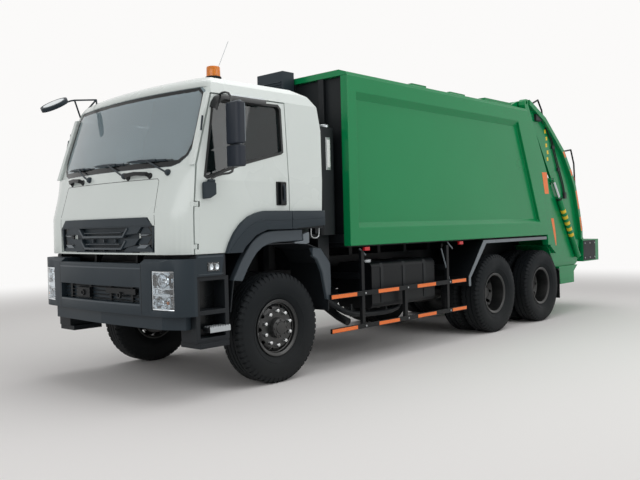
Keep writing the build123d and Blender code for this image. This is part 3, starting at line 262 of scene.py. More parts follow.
# The same enamel in green over welded sheet: deep gloss, slightly wavy where the sheet is welded.
BODY_ENAMEL = Finish("Green body enamel", "body_paint", "#06854d", "#057743", patch_mm=1400.0,
                     roughness=0.24, specular=0.32, pattern=Pattern.ORANGE_PEEL, pattern_mm=260.0,
                     relief_mm=0.9)
# Brushed-on chassis enamel: satin black, dusty low down.
CHASSIS_ENAMEL = Finish("Black chassis enamel", "chassis_paint", "#0f1215", "#15191c", roughness=0.42,
                        specular=0.2, pattern=Pattern.ORANGE_PEEL, pattern_mm=9.0, relief_mm=0.08, dust=0.07)
# Rolled plate under thin dark paint: dull, with rubbed patches.
PAINTED_PLATE = Finish("Dark painted plate", "steel_plate", "#15191c", "#1e2326", patch_mm=300.0,
                       roughness=0.5, specular=0.25, pattern=Pattern.CAST, pattern_mm=14.0, relief_mm=0.15)
# Sand-cast iron, dipped black: rough skin with no sharp gloss.
CAST_IRON = Finish("Black cast iron", "cast_iron", "#17191b", "#222426", patch_mm=160.0, roughness=0.62,
                   pattern=Pattern.CAST, pattern_mm=5.0, relief_mm=0.25, dust=0.2)
# Turned steel: bright, with fine turning marks.
TURNED_STEEL = Finish("Turned steel", "machined_steel", "#b4b7b9", "#9da1a3", patch_mm=60.0, roughness=0.28,
                      metallic=1.0, pattern=Pattern.BRUSHED, pattern_mm=1.5, relief_mm=0.01)
# Hard chrome on a ground rod: nearly a mirror.
HARD_CHROME = Finish("Hard chrome", "chrome_rod", "#cfd3d5", "#c3c8cb", patch_mm=200.0, roughness=0.1,
                     metallic=1.0)
# Rolled aluminium sheet: soft brushed shine.
ALUMINIUM = Finish("Rolled aluminium", "tank_aluminium", "#b3b8bb", "#a3a8ab", patch_mm=260.0,
                   roughness=0.36, metallic=1.0, pattern=Pattern.BRUSHED, pattern_mm=2.0, relief_mm=0.02)
# Polypropylene, moulded in a grained tool: charcoal, satin where the grain catches light.
GRAINED_PLASTIC = Finish("Grained polypropylene", "trim_plastic", "#252f36", "#2c363d", roughness=0.46,
                         specular=0.25, pattern=Pattern.GRAINED, pattern_mm=2.5, relief_mm=0.08)
# ABS, moulded in a polished tool: gloss black.
GLOSS_ABS = Finish("Gloss ABS", "gloss_trim", "#1a1e20", "#202426", roughness=0.22, coat=0.3)
# Polypropylene splash guards: near black.
SPLASH_PLASTIC = Finish("Splash guard polypropylene", "trim_plastic", "#171b1f", "#1d2226", roughness=0.5,
                        specular=0.25, pattern=Pattern.GRAINED, pattern_mm=3.0, relief_mm=0.08)
# The same plastic painted satin: slightly paler, its paler colour a painted highlight, a soft line of light.
TRIM_WITH_PAINTED_HIGHLIGHT = Finish("Satin trim with painted highlight", "trim_plastic", "#3b444b", "#424b52", roughness=0.34,
                    specular=0.35)
# A paler copy still: a brighter painted highlight on edges, clamps, blades, struts and an end plate.
TRIM_WITH_BRIGHT_PAINTED_HIGHLIGHT = Finish("Satin trim with bright painted highlight", "trim_plastic", "#6a7278", "#727a80", roughness=0.3,
                          specular=0.35)
# Float glass with a light green tint; its pale colour, a third of it opaque, is also a painted reflection of
# the sky.
GLASS_WITH_PAINTED_REFLECTION = Finish("Float glass with painted reflection", "glass", "#b9cbd2", "#b1c4cb", roughness=0.02, ior=1.52,
                      transmission=0.66)
# The same glass in the doors, made darker as painted shade of the dim cab behind it.
DOOR_GLASS_WITH_PAINTED_SHADE = Finish("Float glass darkened with painted shade", "glass", "#3e4c4e", "#3a4849", roughness=0.02, ior=1.52,
                    transmission=0.85)
# Ceramic band fired on the glass: opaque black; the same black is also painted shade in gaps, recesses and
# behind the grille.
BLACK_BAND_AND_PAINTED_SHADE = Finish("Black ceramic band and painted shade", "gloss_trim", "#101416", "#15191b", roughness=0.25,
                      specular=0.28)
# Polycarbonate lens, moulded with prisms: clear and bright.
CLEAR_LENS = Finish("Clear polycarbonate lens", "lamp_lens", "#eef3f6", "#e6ecef", roughness=0.06, ior=1.58,
                    transmission=0.92, pattern=Pattern.RIBBED, pattern_mm=14.0, relief_mm=0.5)
# Vacuum-metallised bowl of a lamp: bright and faceted.
LAMP_BOWL = Finish("Metallised lamp bowl", "lamp_lens", "#dde2e6", "#c9cfd4", patch_mm=40.0, roughness=0.12,
                   metallic=1.0, pattern=Pattern.RIBBED, pattern_mm=30.0, relief_mm=1.2)
# Acrylic lenses with moulded prisms, coloured right through.
AMBER_LENS = Finish("Amber acrylic lens", "amber_lens", "#f28a1c", "#e67a12", roughness=0.15, ior=1.49,
                    transmission=0.25, pattern=Pattern.RIBBED, pattern_mm=8.0, relief_mm=0.4)
RED_LENS = Finish("Red acrylic lens", "red_lens", "#d3222b", "#b9161f", roughness=0.15, ior=1.49,
                  transmission=0.15, pattern=Pattern.RIBBED, pattern_mm=8.0, relief_mm=0.4)
# Retroreflective sheet, embossed with prisms: flat bright colour, its prisms drawn coarse enough to show.
ORANGE_SHEET = Finish("Orange retroreflective sheet", "orange_reflector", "#f27a32", "#ea6f2a",
                      patch_mm=90.0, roughness=0.4, pattern=Pattern.RIBBED, pattern_mm=10.0, relief_mm=0.1)
YELLOW_SHEET = Finish("Yellow marking film", "orange_reflector", "#e8c42c", "#dcb722", patch_mm=90.0,
                      roughness=0.42, pattern=Pattern.RIBBED, pattern_mm=10.0, relief_mm=0.08)
# Stove enamel on pressed wheels: gloss black, dusty low down.
WHEEL_ENAMEL = Finish("Black wheel enamel", "chassis_paint", "#101315", "#181b1d", patch_mm=200.0,
                      roughness=0.33, coat=0.2, pattern=Pattern.ORANGE_PEEL, pattern_mm=8.0, relief_mm=0.05,
                      dust=0.1)
# Drawn stainless caps over the wheel nuts: bright satin.
NUT_CAP = Finish("Stainless nut cap", "machined_steel", "#d4d6d7", "#c3c6c8", patch_mm=20.0, roughness=0.22,
                 metallic=1.0, pattern=Pattern.BRUSHED, pattern_mm=1.5, relief_mm=0.005)
# Moulded mirror shell: dark blue-grey, satin.
MIRROR_SHELL = Finish("Moulded mirror shell", "trim_plastic", "#262c35", "#2c323b", roughness=0.4,
                      specular=0.25, pattern=Pattern.GRAINED, pattern_mm=2.5, relief_mm=0.05)
# White-backed glass tube of an oil gauge.
GAUGE_GLASS = Finish("White gauge glass", "glass", "#e9ecec", "#dfe3e3", roughness=0.1, ior=1.5)
# Silvered float glass.
MIRROR = Finish("Silvered mirror glass", "mirror_glass", "#dbe2e5", "#d3dbde", roughness=0.03, metallic=1.0)
# Vulcanised rubber: dull charcoal, with a moulded skin and dust low down.
TYRE_RUBBER = Finish("Vulcanised tyre rubber", "tyre_rubber", "#15191c", "#1b1f22", patch_mm=240.0,
                     roughness=0.66, specular=0.16, pattern=Pattern.CAST, pattern_mm=6.0, relief_mm=0.2,
                     dust=0.05)
HOSE_RUBBER = Finish("Braided hose rubber", "hose_rubber", "#16191a", "#1d2021", patch_mm=80.0,
                     roughness=0.55, pattern=Pattern.GRAINED, pattern_mm=3.0, relief_mm=0.2)
# Polypropylene dashboard skin: matt grey.
DASH_SKIN = Finish("Soft dashboard skin", "dash_plastic", "#45494c", "#4c5053", roughness=0.6,
                   pattern=Pattern.GRAINED, pattern_mm=3.0, relief_mm=0.1)
# Woven polyester seat cloth; its threads are drawn five times too coarse so that they show.
SEAT_CLOTH = Finish("Woven seat cloth", "seat_fabric", "#3b4046", "#464c53", patch_mm=50.0, roughness=0.85,
                    pattern=Pattern.WOVEN, pattern_mm=6.0, relief_mm=0.4, sheen=0.3)


# === mesh tools =========================================================================
class Along(Enum):
    """The axis that an outline is extruded or turned about; its two numbers follow the other axes."""

    X = (1, 2, 0)
    Y = (0, 2, 1)
    Z = (0, 1, 2)

    def point(self, first: float, second: float, depth: float) -> Vector:
        """Return a point from an outline's two numbers and its depth along this axis."""
        made = [0.0, 0.0, 0.0]
        for index, number in zip(self.value, (first, second, depth)):
            made[index] = number
        return Vector(made)


FRONT_AXLE = sum(corner.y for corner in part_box("front_wheel_left")) / 2


def at(station: float) -> float:
    """Turn a station behind the front axle into a Y coordinate."""
    return FRONT_AXLE + station


def side_path(sign: int, points: Iterable[Point]) -> list[Vector]:
    """Return points on one side of the truck, from their side distances, stations and heights."""
    return [Vector((sign * x, at(station), z)) for x, station, z in points]


def on_side(sign: int, x: float, points: Iterable[Point]) -> list[Vector]:
    """Return points on one side of the truck that share a side distance, from their stations and heights."""
    return side_path(sign, [(x, station, z) for station, z in points])


def around(centre: Vector, radius: float, count: int, start: float = 0.0) -> list[Vector]:
    """Return places at equal steps on a circle about the X axis, from a start angle."""
    turns = [start + math.tau * step / count for step in range(count)]
    return [centre + Vector((0, radius * math.cos(turn), radius * math.sin(turn))) for turn in turns]


def blended(low: float, high: float, share: float) -> float:
    """Return the number at a share of the way from low to high."""
    return low + (high - low) * share


MITRE_LIMIT = 0.4  # the least cosine of half a bend whose corner is still drawn out in full
BEND_LIMIT = 0.5  # the same for the bends of round bars
SAME_CORNER = 1e-5  # a form's corners nearer than this are one
NO_LENGTH = 1e-6  # an edge or a turn shorter than this is none
TINY = 1e-9


def stepped(points: Sequence[Point], step: float, loop: bool = False) -> list[Vector]:
    """Return a polyline's points with more between them, at most a step apart.

    Args:
        points: The polyline.
        step: The largest distance between neighbours.
        loop: Whether its end joins its start.

    Returns:
        The points, without the start repeated.
    """
    corners = [Vector(point) for point in points]
    ends = corners + corners[:1] if loop else corners
    made = []
    for first, second in zip(ends, ends[1:]):
        count = max(1, math.ceil((second - first).length / step))
        made += [first.lerp(second, index / count) for index in range(count)]
    return made if loop else [*made, corners[-1]]


def grown(outline: Sequence[Point], distance: float) -> list[Vector]:
    """Return a closed two-number outline moved outwards by a distance, or inwards by a negative one."""
    points = [Vector(point) for point in outline]
    area = sum(a.x * b.y - b.x * a.y for a, b in zip(points, points[1:] + points[:1]))
    out = distance if area > 0 else -distance
    made = []
    for before, point, after in zip(points[-1:] + points[:-1], points, points[1:] + points[:1]):
        first, second = (point - before).normalized(), (after - point).normalized()
        normals = Vector((first.y, -first.x)), Vector((second.y, -second.x))
        middle = (normals[0] + normals[1]).normalized()
        made.append(point + middle * out / max(MITRE_LIMIT, middle.dot(normals[0])))
    return made


def crossings(outline: Sequence[Point], x: float) -> tuple[float, float]:
    """Return the lowest and highest second number where a closed outline crosses a first number."""
    found = []
    for (x0, z0), (x1, z1) in zip(outline, [*outline[1:], outline[0]]):
        if min(x0, x1) <= x <= max(x0, x1) and abs(x1 - x0) > TINY:
            found.append(blended(z0, z1, (x - x0) / (x1 - x0)))
    return min(found), max(found)


RAY_START = 3.0  # nothing stands this far ahead of the front axle, or this far out


class Skin:
    """Finds places on the outside of CAD nodes."""

    def __init__(self, *nodes: str) -> None:
        """Read the nodes' meshes."""
        points, faces = [], []
        for node in nodes:
            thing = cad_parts[node]
            start = len(points)
            points += [thing.matrix_world @ vertex.co for vertex in thing.data.vertices]
            faces += [[start + index for index in face.vertices] for face in thing.data.polygons]
        self.tree = BVHTree.FromPolygons(points, faces)

    def front(self, x: float, z: float) -> Vector:
        """Return the foremost point at a side distance and a height."""
        return self.tree.ray_cast(Vector((x, at(-RAY_START), z)), -AHEAD)[0]

    def side(self, sign: int, station: float, z: float) -> Vector:
        """Return the outermost point on one side at a station and a height."""
        return self.tree.ray_cast(Vector((RAY_START * sign, at(station), z)), Vector((-sign, 0, 0)))[0]


class Form:
    """A mesh in the making, in the frame's coordinates; block, plate and band take stations, not Y."""

    def __init__(self) -> None:
        """Start an empty mesh."""
        self.mesh = bmesh.new()

    def prism(self, outline: Iterable[Point], along: Along, low: float, high: float) -> "Form":
        """Add an outline extruded along an axis.

        Args:
            outline: Closed outline, as two coordinates a point.
            along: The axis that it is extruded along.
            low: Where it starts.
            high: Where it ends.

        Returns:
            This form.
        """
        points = list(outline)
        ends = [[self.mesh.verts.new(along.point(*point, depth)) for point in points]
                for depth in (low, high)]
        self.mesh.faces.new(ends[0])
        self.mesh.faces.new(reversed(ends[1]))
        for index in range(len(points)):
            after = (index + 1) % len(points)
            self.mesh.faces.new((ends[0][after], ends[0][index], ends[1][index], ends[1][after]))
        return self

    def box(self, x: Point, y: Point, z: Point, sign: int = 1) -> "Form":
        """Add a block from its limits in X, Y and Z, with a sign for its side of the truck."""
        low, high = sorted((sign * x[0], sign * x[1]))
        return self.prism([(low, y[0]), (high, y[0]), (high, y[1]), (low, y[1])], Along.Z, *z)

    def block(self, sign: int, x: Point, stations: Point, z: Point) -> "Form":
        """Add a block on one side of the truck, from its side distances, stations and heights."""
        return self.box(x, [at(station) for station in stations], z, sign)

    def plate(self, sign: int, outline: Iterable[Point], x: Point) -> "Form":
        """Add a plate on one side of the truck, from its outline (stations, heights) and side distances."""
        points = [(at(station), z) for station, z in outline]
        return self.prism(points, Along.X, *sorted((sign * x[0], sign * x[1])))

    def rows(self, rows: Sequence[Sequence[Point]], closed: bool = False, capped: bool = False) -> "Form":
        """Add a surface through rows of points that have the same count.

        Args:
            rows: The rows, each a list of points.
            closed: Whether each row joins its own end to its start.
            capped: Whether the first and last rows are filled.

        Returns:
            This form.
        """
        made = [[self.mesh.verts.new(point) for point in row] for row in rows]
        count = len(made[0])
        for first, second in zip(made, made[1:]):
            for index in range(count if closed else count - 1):
                after = (index + 1) % count
                self.mesh.faces.new((first[index], first[after], second[after], second[index]))
        if capped:
            self.mesh.faces.new(reversed(made[0]))
            self.mesh.faces.new(made[-1])
        return self

    def band(self, sign: int, outer: Sequence[Point], inner: Sequence[Point],
             profile: Sequence[Point]) -> "Form":
        """Add a band on one side of the truck, between two edges that have the same count of points.

        Args:
            sign: The side's sign along X.
            outer: Its outer edge, as stations and heights.
            inner: Its inner edge.
            profile: Its section, as side distances and shares of the way from outer to inner.

        Returns:
            This form.
        """
        rows = []
        for (y0, z0), (y1, z1) in zip(outer, inner):
            section = [(x, blended(y0, y1, share), blended(z0, z1, share)) for x, share in profile]
            rows.append(side_path(sign, section))
        return self.rows(rows, closed=True, capped=True)

    def tube(self, points: Sequence[Point], radius: float, sides: int = 12) -> "Form":
        """Add a round bar that follows points, with mitred bends.

        Args:
            points: The centreline.
            radius: The bar's radius.
            sides: How many sides it has.

        Returns:
            This form.
        """
        path = [Vector(point) for point in points]
        ways = [(after - before).normalized() for before, after in zip(path, path[1:])]
        side = ways[0].orthogonal().normalized()
        rings = []
        for index, point in enumerate(path):
            before, after = ways[max(index - 1, 0)], ways[min(index, len(ways) - 1)]
            middle = (before + after).normalized()
            side = (side - middle * side.dot(middle)).normalized()
            other = middle.cross(side)
            stretch = 1 / max(BEND_LIMIT, middle.dot(before))
            turn = after - before
            ring = []
            for step in range(sides):
                angle = math.tau * step / sides
                out = side * math.cos(angle) + other * math.sin(angle)
                if turn.length > NO_LENGTH:
                    bend = turn.normalized()
                    out = out + bend * out.dot(bend) * (stretch - 1)
                ring.append(point + out * radius)
            rings.append(ring)
        return self.rows(rings, closed=True, capped=True)

    def bar(self, points: Sequence[Point], out: Point, width: float, height: float, sunk: float = 0.002,
            loop: bool = False) -> "Form":
        """Add a flat bar that lies on a surface.

        Args:
            points: Its centreline on the surface.
            out: The way out of the surface.
            width: Its width.
            height: How far it stands out.
            sunk: How far it reaches into the surface.
            loop: Whether its end joins its start.

        Returns:
            This form.
        """
        path, out = [Vector(point) for point in points], Vector(out).normalized()
        rows = []
        for index, point in enumerate(path):
            before = path[index - 1] if index or loop else point
            after = path[(index + 1) % len(path)] if loop or index + 1 < len(path) else point
            ways = [way.normalized() for way in (point - before, after - point) if way.length > TINY]
            middle = sum(ways, Vector()).normalized()
            across = middle.cross(out).normalized() * (width / 2 / max(MITRE_LIMIT, middle.dot(ways[0])))
            rows.append([point + across - out * sunk, point + across + out * height,
                         point - across + out * height, point - across - out * sunk])
        if loop:
            return self.rows([*rows, rows[0]], closed=True)
        return self.rows(rows, closed=True, capped=True)

    def trace(self, skin: Skin, path: Sequence[Point], step: float, width: float, height: float,
              sunk: float = 0.002, out: Point = AHEAD, loop: bool = False) -> "Form":
        """Add a flat bar that lies on a skin, seen from the front.

        Args:
            skin: What it lies on.
            path: Its centreline, as side distances and heights.
            step: The largest distance between its points.
            width: Its width.
            height: How far it stands out.
            sunk: How far it reaches into the skin.
            out: The way out of the skin.
            loop: Whether its end joins its start.

        Returns:
            This form.
        """
        points = [skin.front(*point) for point in stepped(path, step, loop)]
        return self.bar(points, out, width, height, sunk, loop)

    def lathe(self, profile: Sequence[Point], centre: Point, along: Along = Along.X, steps: int = 48,
              sign: float = 1.0, closed: bool = False) -> "Form":
        """Turn a profile about an axis through a centre.

        Args:
            profile: Points of (distance along the axis, radius).
            centre: A point on the axis.
            along: The axis.
            steps: How many steps round.
            sign: -1 flips the profile along the axis.
            closed: Whether the profile's ends join.

        Returns:
            This form.
        """
        first, second, axis = along.value
        rings = []
        for step in range(steps):
            angle = math.tau * step / steps
            ring = []
            for distance, radius in profile:
                point = Vector(centre)
                point[axis] += sign * distance
                point[first] += radius * math.cos(angle)
                point[second] += radius * math.sin(angle)
                ring.append(point)
            rings.append(ring)
        return self.rows([*rings, rings[0]], closed=closed)

    def dome(self, centre: Point, radius: float, stretch: float) -> "Form":
        """Add half a ball that faces ahead, drawn out along its axis.

        Args:
            centre: The middle of its flat side.
            radius: The flat side's radius.
            stretch: Its depth as a share of the radius.

        Returns:
            This form.
        """
        turns = [math.pi / 2 * index / 6 for index in range(7)]
        profile = [(radius * stretch * math.sin(turn), max(radius * math.cos(turn), SAME_CORNER))
                   for turn in turns]
        return self.lathe([(0.0, SAME_CORNER), *profile], centre, Along.Y, 16, sign=-1)


SAME_PLACE = 0.00005  # corners nearer than this are one before a piece's edges are rounded
FLAT_EDGE = 35.0  # edges flatter than this, in degrees, are smooth and aren't rounded


def round_edges(thing: bpy.types.Object, width: float, segments: int = 2) -> None:
    """Round a piece's sharp edges, with no change to its size.

    Args:
        thing: The piece.
        width: How far from each edge the rounding starts, in metres.
        segments: How many facets the rounding has.
    """
    weld = thing.modifiers.new("weld", "WELD")
    weld.merge_threshold = SAME_PLACE
    bevel = thing.modifiers.new("round", "BEVEL")
    bevel.width = width
    bevel.segments = segments
    bevel.limit_method = "ANGLE"
    bevel.angle_limit = math.radians(FLAT_EDGE)
    bevel.harden_normals = True
    bevel.use_clamp_overlap = True


def piece(name: str, form: Form, finish: Finish, body: str, rounding: float = 0.0, smooth: float = FLAT_EDGE,
          replaces: Sequence[str] = ()) -> bpy.types.Object:
    """Turn a form into a finished piece that rides on a body.

    Args:
        name: The piece's name.
        form: Its mesh.
        finish: Its finish.
        body: The body that it moves with.
        rounding: How far its sharp edges are rounded, in metres.
        smooth: Edges flatter than this many degrees are shaded smooth.
        replaces: CAD nodes that it stands for.

    Returns:
        The piece.
    """
    bmesh.ops.remove_doubles(form.mesh, verts=form.mesh.verts, dist=SAME_CORNER)
    bmesh.ops.dissolve_degenerate(form.mesh, edges=form.mesh.edges, dist=NO_LENGTH)
    bmesh.ops.recalc_face_normals(form.mesh, faces=form.mesh.faces)
    data = bpy.data.meshes.new(name)
    form.mesh.to_mesh(data)
    form.mesh.free()
    data.materials.append(finish.material())
    made = add_object(name, data)
    data.shade_smooth()
    data.set_sharp_from_angle(angle=math.radians(smooth))
    if rounding:
        round_edges(made, rounding)
    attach(made, body)
    if replaces:
        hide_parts(*replaces)
    log.info("%s: %s on %s", name, finish.name, body)
    return made


def dress(node: str, finish: Finish, rounding: float = 0.0, segments: int = 2) -> None:
    """Give a CAD node its finish, and round its edges.

    Args:
        node: The node's name.
        finish: Its finish.
        rounding: How far its sharp edges are rounded, in metres.
        segments: How many facets the rounding has.
    """
    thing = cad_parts[node]
    thing.data.materials.clear()
    thing.data.materials.append(finish.material())
    if rounding:
        round_edges(thing, rounding, segments)
    log.info("%s: %s", node, finish.name)


class SubAssembly:
    """A group of pieces that share sizes."""

    def build(self) -> None:
        """Make and dress every piece of the group."""
        raise NotImplementedError


# === cab ================================================================================
WINDOW = ((-0.898, 1.985), (-0.765, 2.635), (-0.735, 2.668), (0.035, 2.69), (0.062, 2.66), (0.062, 2.25),
          (0.04, 2.235), (-0.433, 2.117), (-0.88, 1.972))  # the door window's outline: station, height


@dataclass
class CabShell(SubAssembly):
    """The cab's painted panels with painted shade in their gaps, flares, seals and handles."""

    half_width: float = 1.2
    waist: float = 1.95  # the doors lean in above this height
    door_top: tuple[float, float] = (1.16, 2.735)  # side distance and height
    flare_out: float = 0.038
    flare_inset: float = 1.112  # side distance of the arch linings' inner edge
    gap_shade: tuple[float, float] = (0.005, 0.0008)  # width of a dark line of painted shade in a panel gap, and how far that line stands out
    seal: tuple[float, float, float] = (0.024, 0.004, 0.03)  # width, how far it stands out, how deep it sits
    hood_half: float = 0.8
    hood_top: float = 1.975
    grille_corner: tuple[float, float] = (0.836, 1.56)

    def build(self) -> None:
        """Finish the panels and add what is fixed to them."""
        for node in ("cab_sides", "cab_front", "cab_roof", "cab_back", "door_left", "door_right"):
            dress(node, CAB_ENAMEL, 0.006)
        dress("cab_floor", CHASSIS_ENAMEL, 0.003)
        self.build_gap_shades()
        for side_name, sign in SIDES:
            self.build_flares(side_name, sign)
            self.build_skirt(side_name, sign)
            self.build_door(side_name, sign)
            self.build_handle(side_name, sign)
        self.build_pillars()
        self.build_roof_rear()

    def build_gap_shades(self) -> None:
        """Draw dark lines of painted shade in the gaps round the hood."""
        skin, gap_shades = Skin("cab_front"), Form()
        corner_x, corner_z = self.grille_corner
        for sign in (-1, 1):
            path = [(corner_x, corner_z), (self.hood_half + 0.008, self.hood_top - 0.02),
                    (self.hood_half - 0.012, self.hood_top)]
            gap_shades.trace(skin, [(sign * x, z) for x, z in path], 0.03, *self.gap_shade)
        gap_shades.trace(skin, [(sign * (self.hood_half - 0.012), self.hood_top) for sign in (-1, 1)], 0.04,
                    *self.gap_shade)
        piece("hood_gap_shade", gap_shades, BLACK_BAND_AND_PAINTED_SHADE, "cab")

    def build_flares(self, side_name: str, sign: int) -> None:
        """Add the charcoal flares over the wheel arch, each with its crease and the lining under it."""
        door, base, face = f"{side_name}_door", self.half_width - 0.019, self.half_width + self.flare_out
        profile = ((base, 0.0), (face - 0.006, 0.0), (face - 0.0014, 0.012), (face, 0.032), (face, 0.97),
                   (face - 0.0014, 0.99), (face - 0.004, 1.0), (base, 1.0))
        edges = (
            ("door", door, [(-0.7, 1.2925), (-0.66, 1.385), (-0.6, 1.478), (-0.52, 1.56), (-0.43, 1.62),
                            (-0.33, 1.656), (-0.23, 1.6745), (0.1275, 1.6745)],
             [(-0.517, 1.2925), (-0.493, 1.3265), (-0.477, 1.345), (-0.413, 1.3945), (-0.348, 1.4445),
              (-0.275, 1.4695), (-0.199, 1.4945), (0.1275, 1.4945)]),
            ("quarter", "cab", [(0.1335, 1.6745), (0.59, 1.6745), (0.6025, 1.66)],
             [(0.1335, 1.4945), (0.59, 1.5235), (0.6025, 1.524)]),
        )
        for name, body, upper, lower in edges:
            piece(f"{name}_flare_{side_name}", Form().band(sign, upper, lower, profile), GRAINED_PLASTIC,
                  body, smooth=40)
        arch_middle = Vector((0.0, 0.9))
        for body, crease, lining in (
            (door, [(-0.672, 1.3), (-0.56, 1.42), (-0.437, 1.515), (-0.33, 1.566), (-0.23, 1.59),
                    (0.122, 1.592)],
             [(0.1255, 1.4985), (-0.2, 1.4985), (-0.35, 1.4485), (-0.48, 1.3485), (-0.5215, 1.2955)]),
            ("cab", [(0.138, 1.592), (0.598, 1.606)], [(0.1345, 1.4985), (0.6015, 1.5285)]),
        ):
            piece(f"flare_crease_{body}_{side_name}",
                  Form().bar(on_side(sign, face, crease), OUT[side_name], 0.016, 0.0045), GRAINED_PLASTIC,
                  body, 0.0015)
            rows = []
            for point in lining:
                under = Vector(point) + (arch_middle - Vector(point)).normalized() * 0.004
                rows.append([*on_side(sign, self.flare_inset, [point]),
                             *on_side(sign, face - 0.006, [point, under]),
                             *on_side(sign, self.flare_inset, [under])])
            piece(f"arch_lining_{body}_{side_name}", Form().rows(rows, closed=True, capped=True),
                  GRAINED_PLASTIC, body)

    def build_skirt(self, side_name: str, sign: int) -> None:
        """Add the skirt under the cab's rear corner, with the small pocket behind it."""
        skirt = Form().plate(sign, [(0.1345, 1.496), (0.599, 1.496), (0.599, 1.534), (0.1345, 1.504)],
                             (1.1, 1.203))
        for stations, z in (((0.54, 0.605), (1.433, 1.441)), ((0.6, 0.605), (1.433, 1.53)),
                            ((0.54, 0.545), (1.433, 1.51))):
            skirt.block(sign, (1.06, 1.1485), stations, z)
        skirt.block(sign, (1.144, 1.1485), (0.54, 0.605), (1.433, 1.51))
        piece(f"cab_skirt_{side_name}", skirt, SPLASH_PLASTIC, "cab")

    def on_door(self, sign: int, station: float, z: float) -> Vector:
        """Return the point on a door's outside at a station and a height."""
        top_x, top_z = self.door_top
        lean = (self.half_width - top_x) / (top_z - self.waist)
        return Vector((sign * (self.half_width - max(0.0, z - self.waist) * lean), at(station), z))

    def build_door(self, side_name: str, sign: int) -> None:
        """Add one door's skin behind its hinges, its window seal and its rain visor with a bright rail."""
        body, way = f"{side_name}_door", OUT[side_name]
        skin = [(-0.994, 1.3), (-0.986, 1.42), (-0.969, 1.7), (-0.9635, 1.79), (-0.94, 1.79),
                (-0.94, 1.3)]
        piece(f"door_skin_{side_name}", Form().plate(sign, skin, (1.1975, 1.2004)), CAB_ENAMEL, body)
        loop = [self.on_door(sign, *point) for point in stepped(grown(WINDOW, 0.004), 0.08, loop=True)]
        piece(f"window_seal_{side_name}", Form().bar(loop, way, *self.seal, loop=True), HOSE_RUBBER, body,
              0.0015)
        rows = []
        for point in ((-0.806, 2.6), (-0.786, 2.652), (-0.748, 2.7), (-0.7, 2.722), (-0.56, 2.728),
                      (-0.13, 2.734)):
            inward = (Vector((-0.3, 2.35)) - Vector(point)).normalized()
            root, fold, lip = (self.on_door(sign, *(Vector(point) + inward * reach))
                               for reach in (0, 0.014, 0.062))
            rows.append([root, root + way * 0.014, fold + way * 0.034, lip + way * 0.042, lip + way * 0.038,
                         fold + way * 0.028])
        piece(f"rain_visor_{side_name}", Form().rows(rows, closed=True, capped=True), BLACK_BAND_AND_PAINTED_SHADE, body,
              smooth=50)
        rail = [self.on_door(sign, station, 2.7325) for station in (-0.57, -0.15)]
        piece(f"visor_rail_{side_name}", Form().bar(rail, way, 0.012, 0.022, 0.004), ALUMINIUM, body, 0.002)

    def build_handle(self, side_name: str, sign: int) -> None:
        """Add one door's handle: its plate, its pull block and the grip over them."""
        body = f"{side_name}_door"
        plate = [(-0.046, 1.726), (0.082, 1.726), (0.082, 1.954), (-0.046, 1.954)]
        piece(f"door_plate_{side_name}", Form().plate(sign, plate, (1.1985, 1.209)), BLACK_BAND_AND_PAINTED_SHADE, body,
              0.004)
        pull = Form().block(sign, (1.204, 1.2335), (-0.009, 0.064), (1.731, 1.949))
        piece(f"door_handle_{side_name}", pull, BLACK_BAND_AND_PAINTED_SHADE, body, 0.003)
        grip = [(x, 0.0275, z) for x, z in ((1.226, 1.765), (1.24, 1.785), (1.243, 1.83), (1.243, 1.88),
                                            (1.24, 1.905), (1.226, 1.925))]
        piece(f"door_grip_{side_name}", Form().tube(side_path(sign, grip), 0.011, 10), GRAINED_PLASTIC, body,
              smooth=60)

    def build_pillars(self) -> None:
        """Add the narrow air slots on the front pillars."""
        skin, slots = Skin("cab_sides"), Form()
        for side_name, sign in SIDES:
            ends = [skin.side(sign, *point) for point in ((-0.916, 2.384), (-0.89, 2.516))]
            slots.bar(ends, OUT[side_name], 0.018, 0.004)
        piece("pillar_slots", slots, GRAINED_PLASTIC, "cab", smooth=60)

    def build_roof_rear(self) -> None:
        """Close the roof down to the rear wall."""
        thickness, above = 0.01, 0.0008
        rows = []
        for station, z, half in ((0.33, 2.8977, 0.8), (0.36, 2.8866, 0.86), (0.4, 2.8719, 0.92),
                                 (0.45, 2.8535, 1.02), (0.5, 2.835, 1.045), (0.54, 2.793, 1.09),
                                 (0.572, 2.7593, 1.105)):
            top, under = z + above, z + above - thickness
            rows.append([(x, at(station), height) for x, height in (
                (-half, top), (half, top), (half, under), (-half, under))])
        piece("roof_rear_panel", Form().rows(rows, closed=True, capped=True), CAB_ENAMEL, "cab", smooth=20)


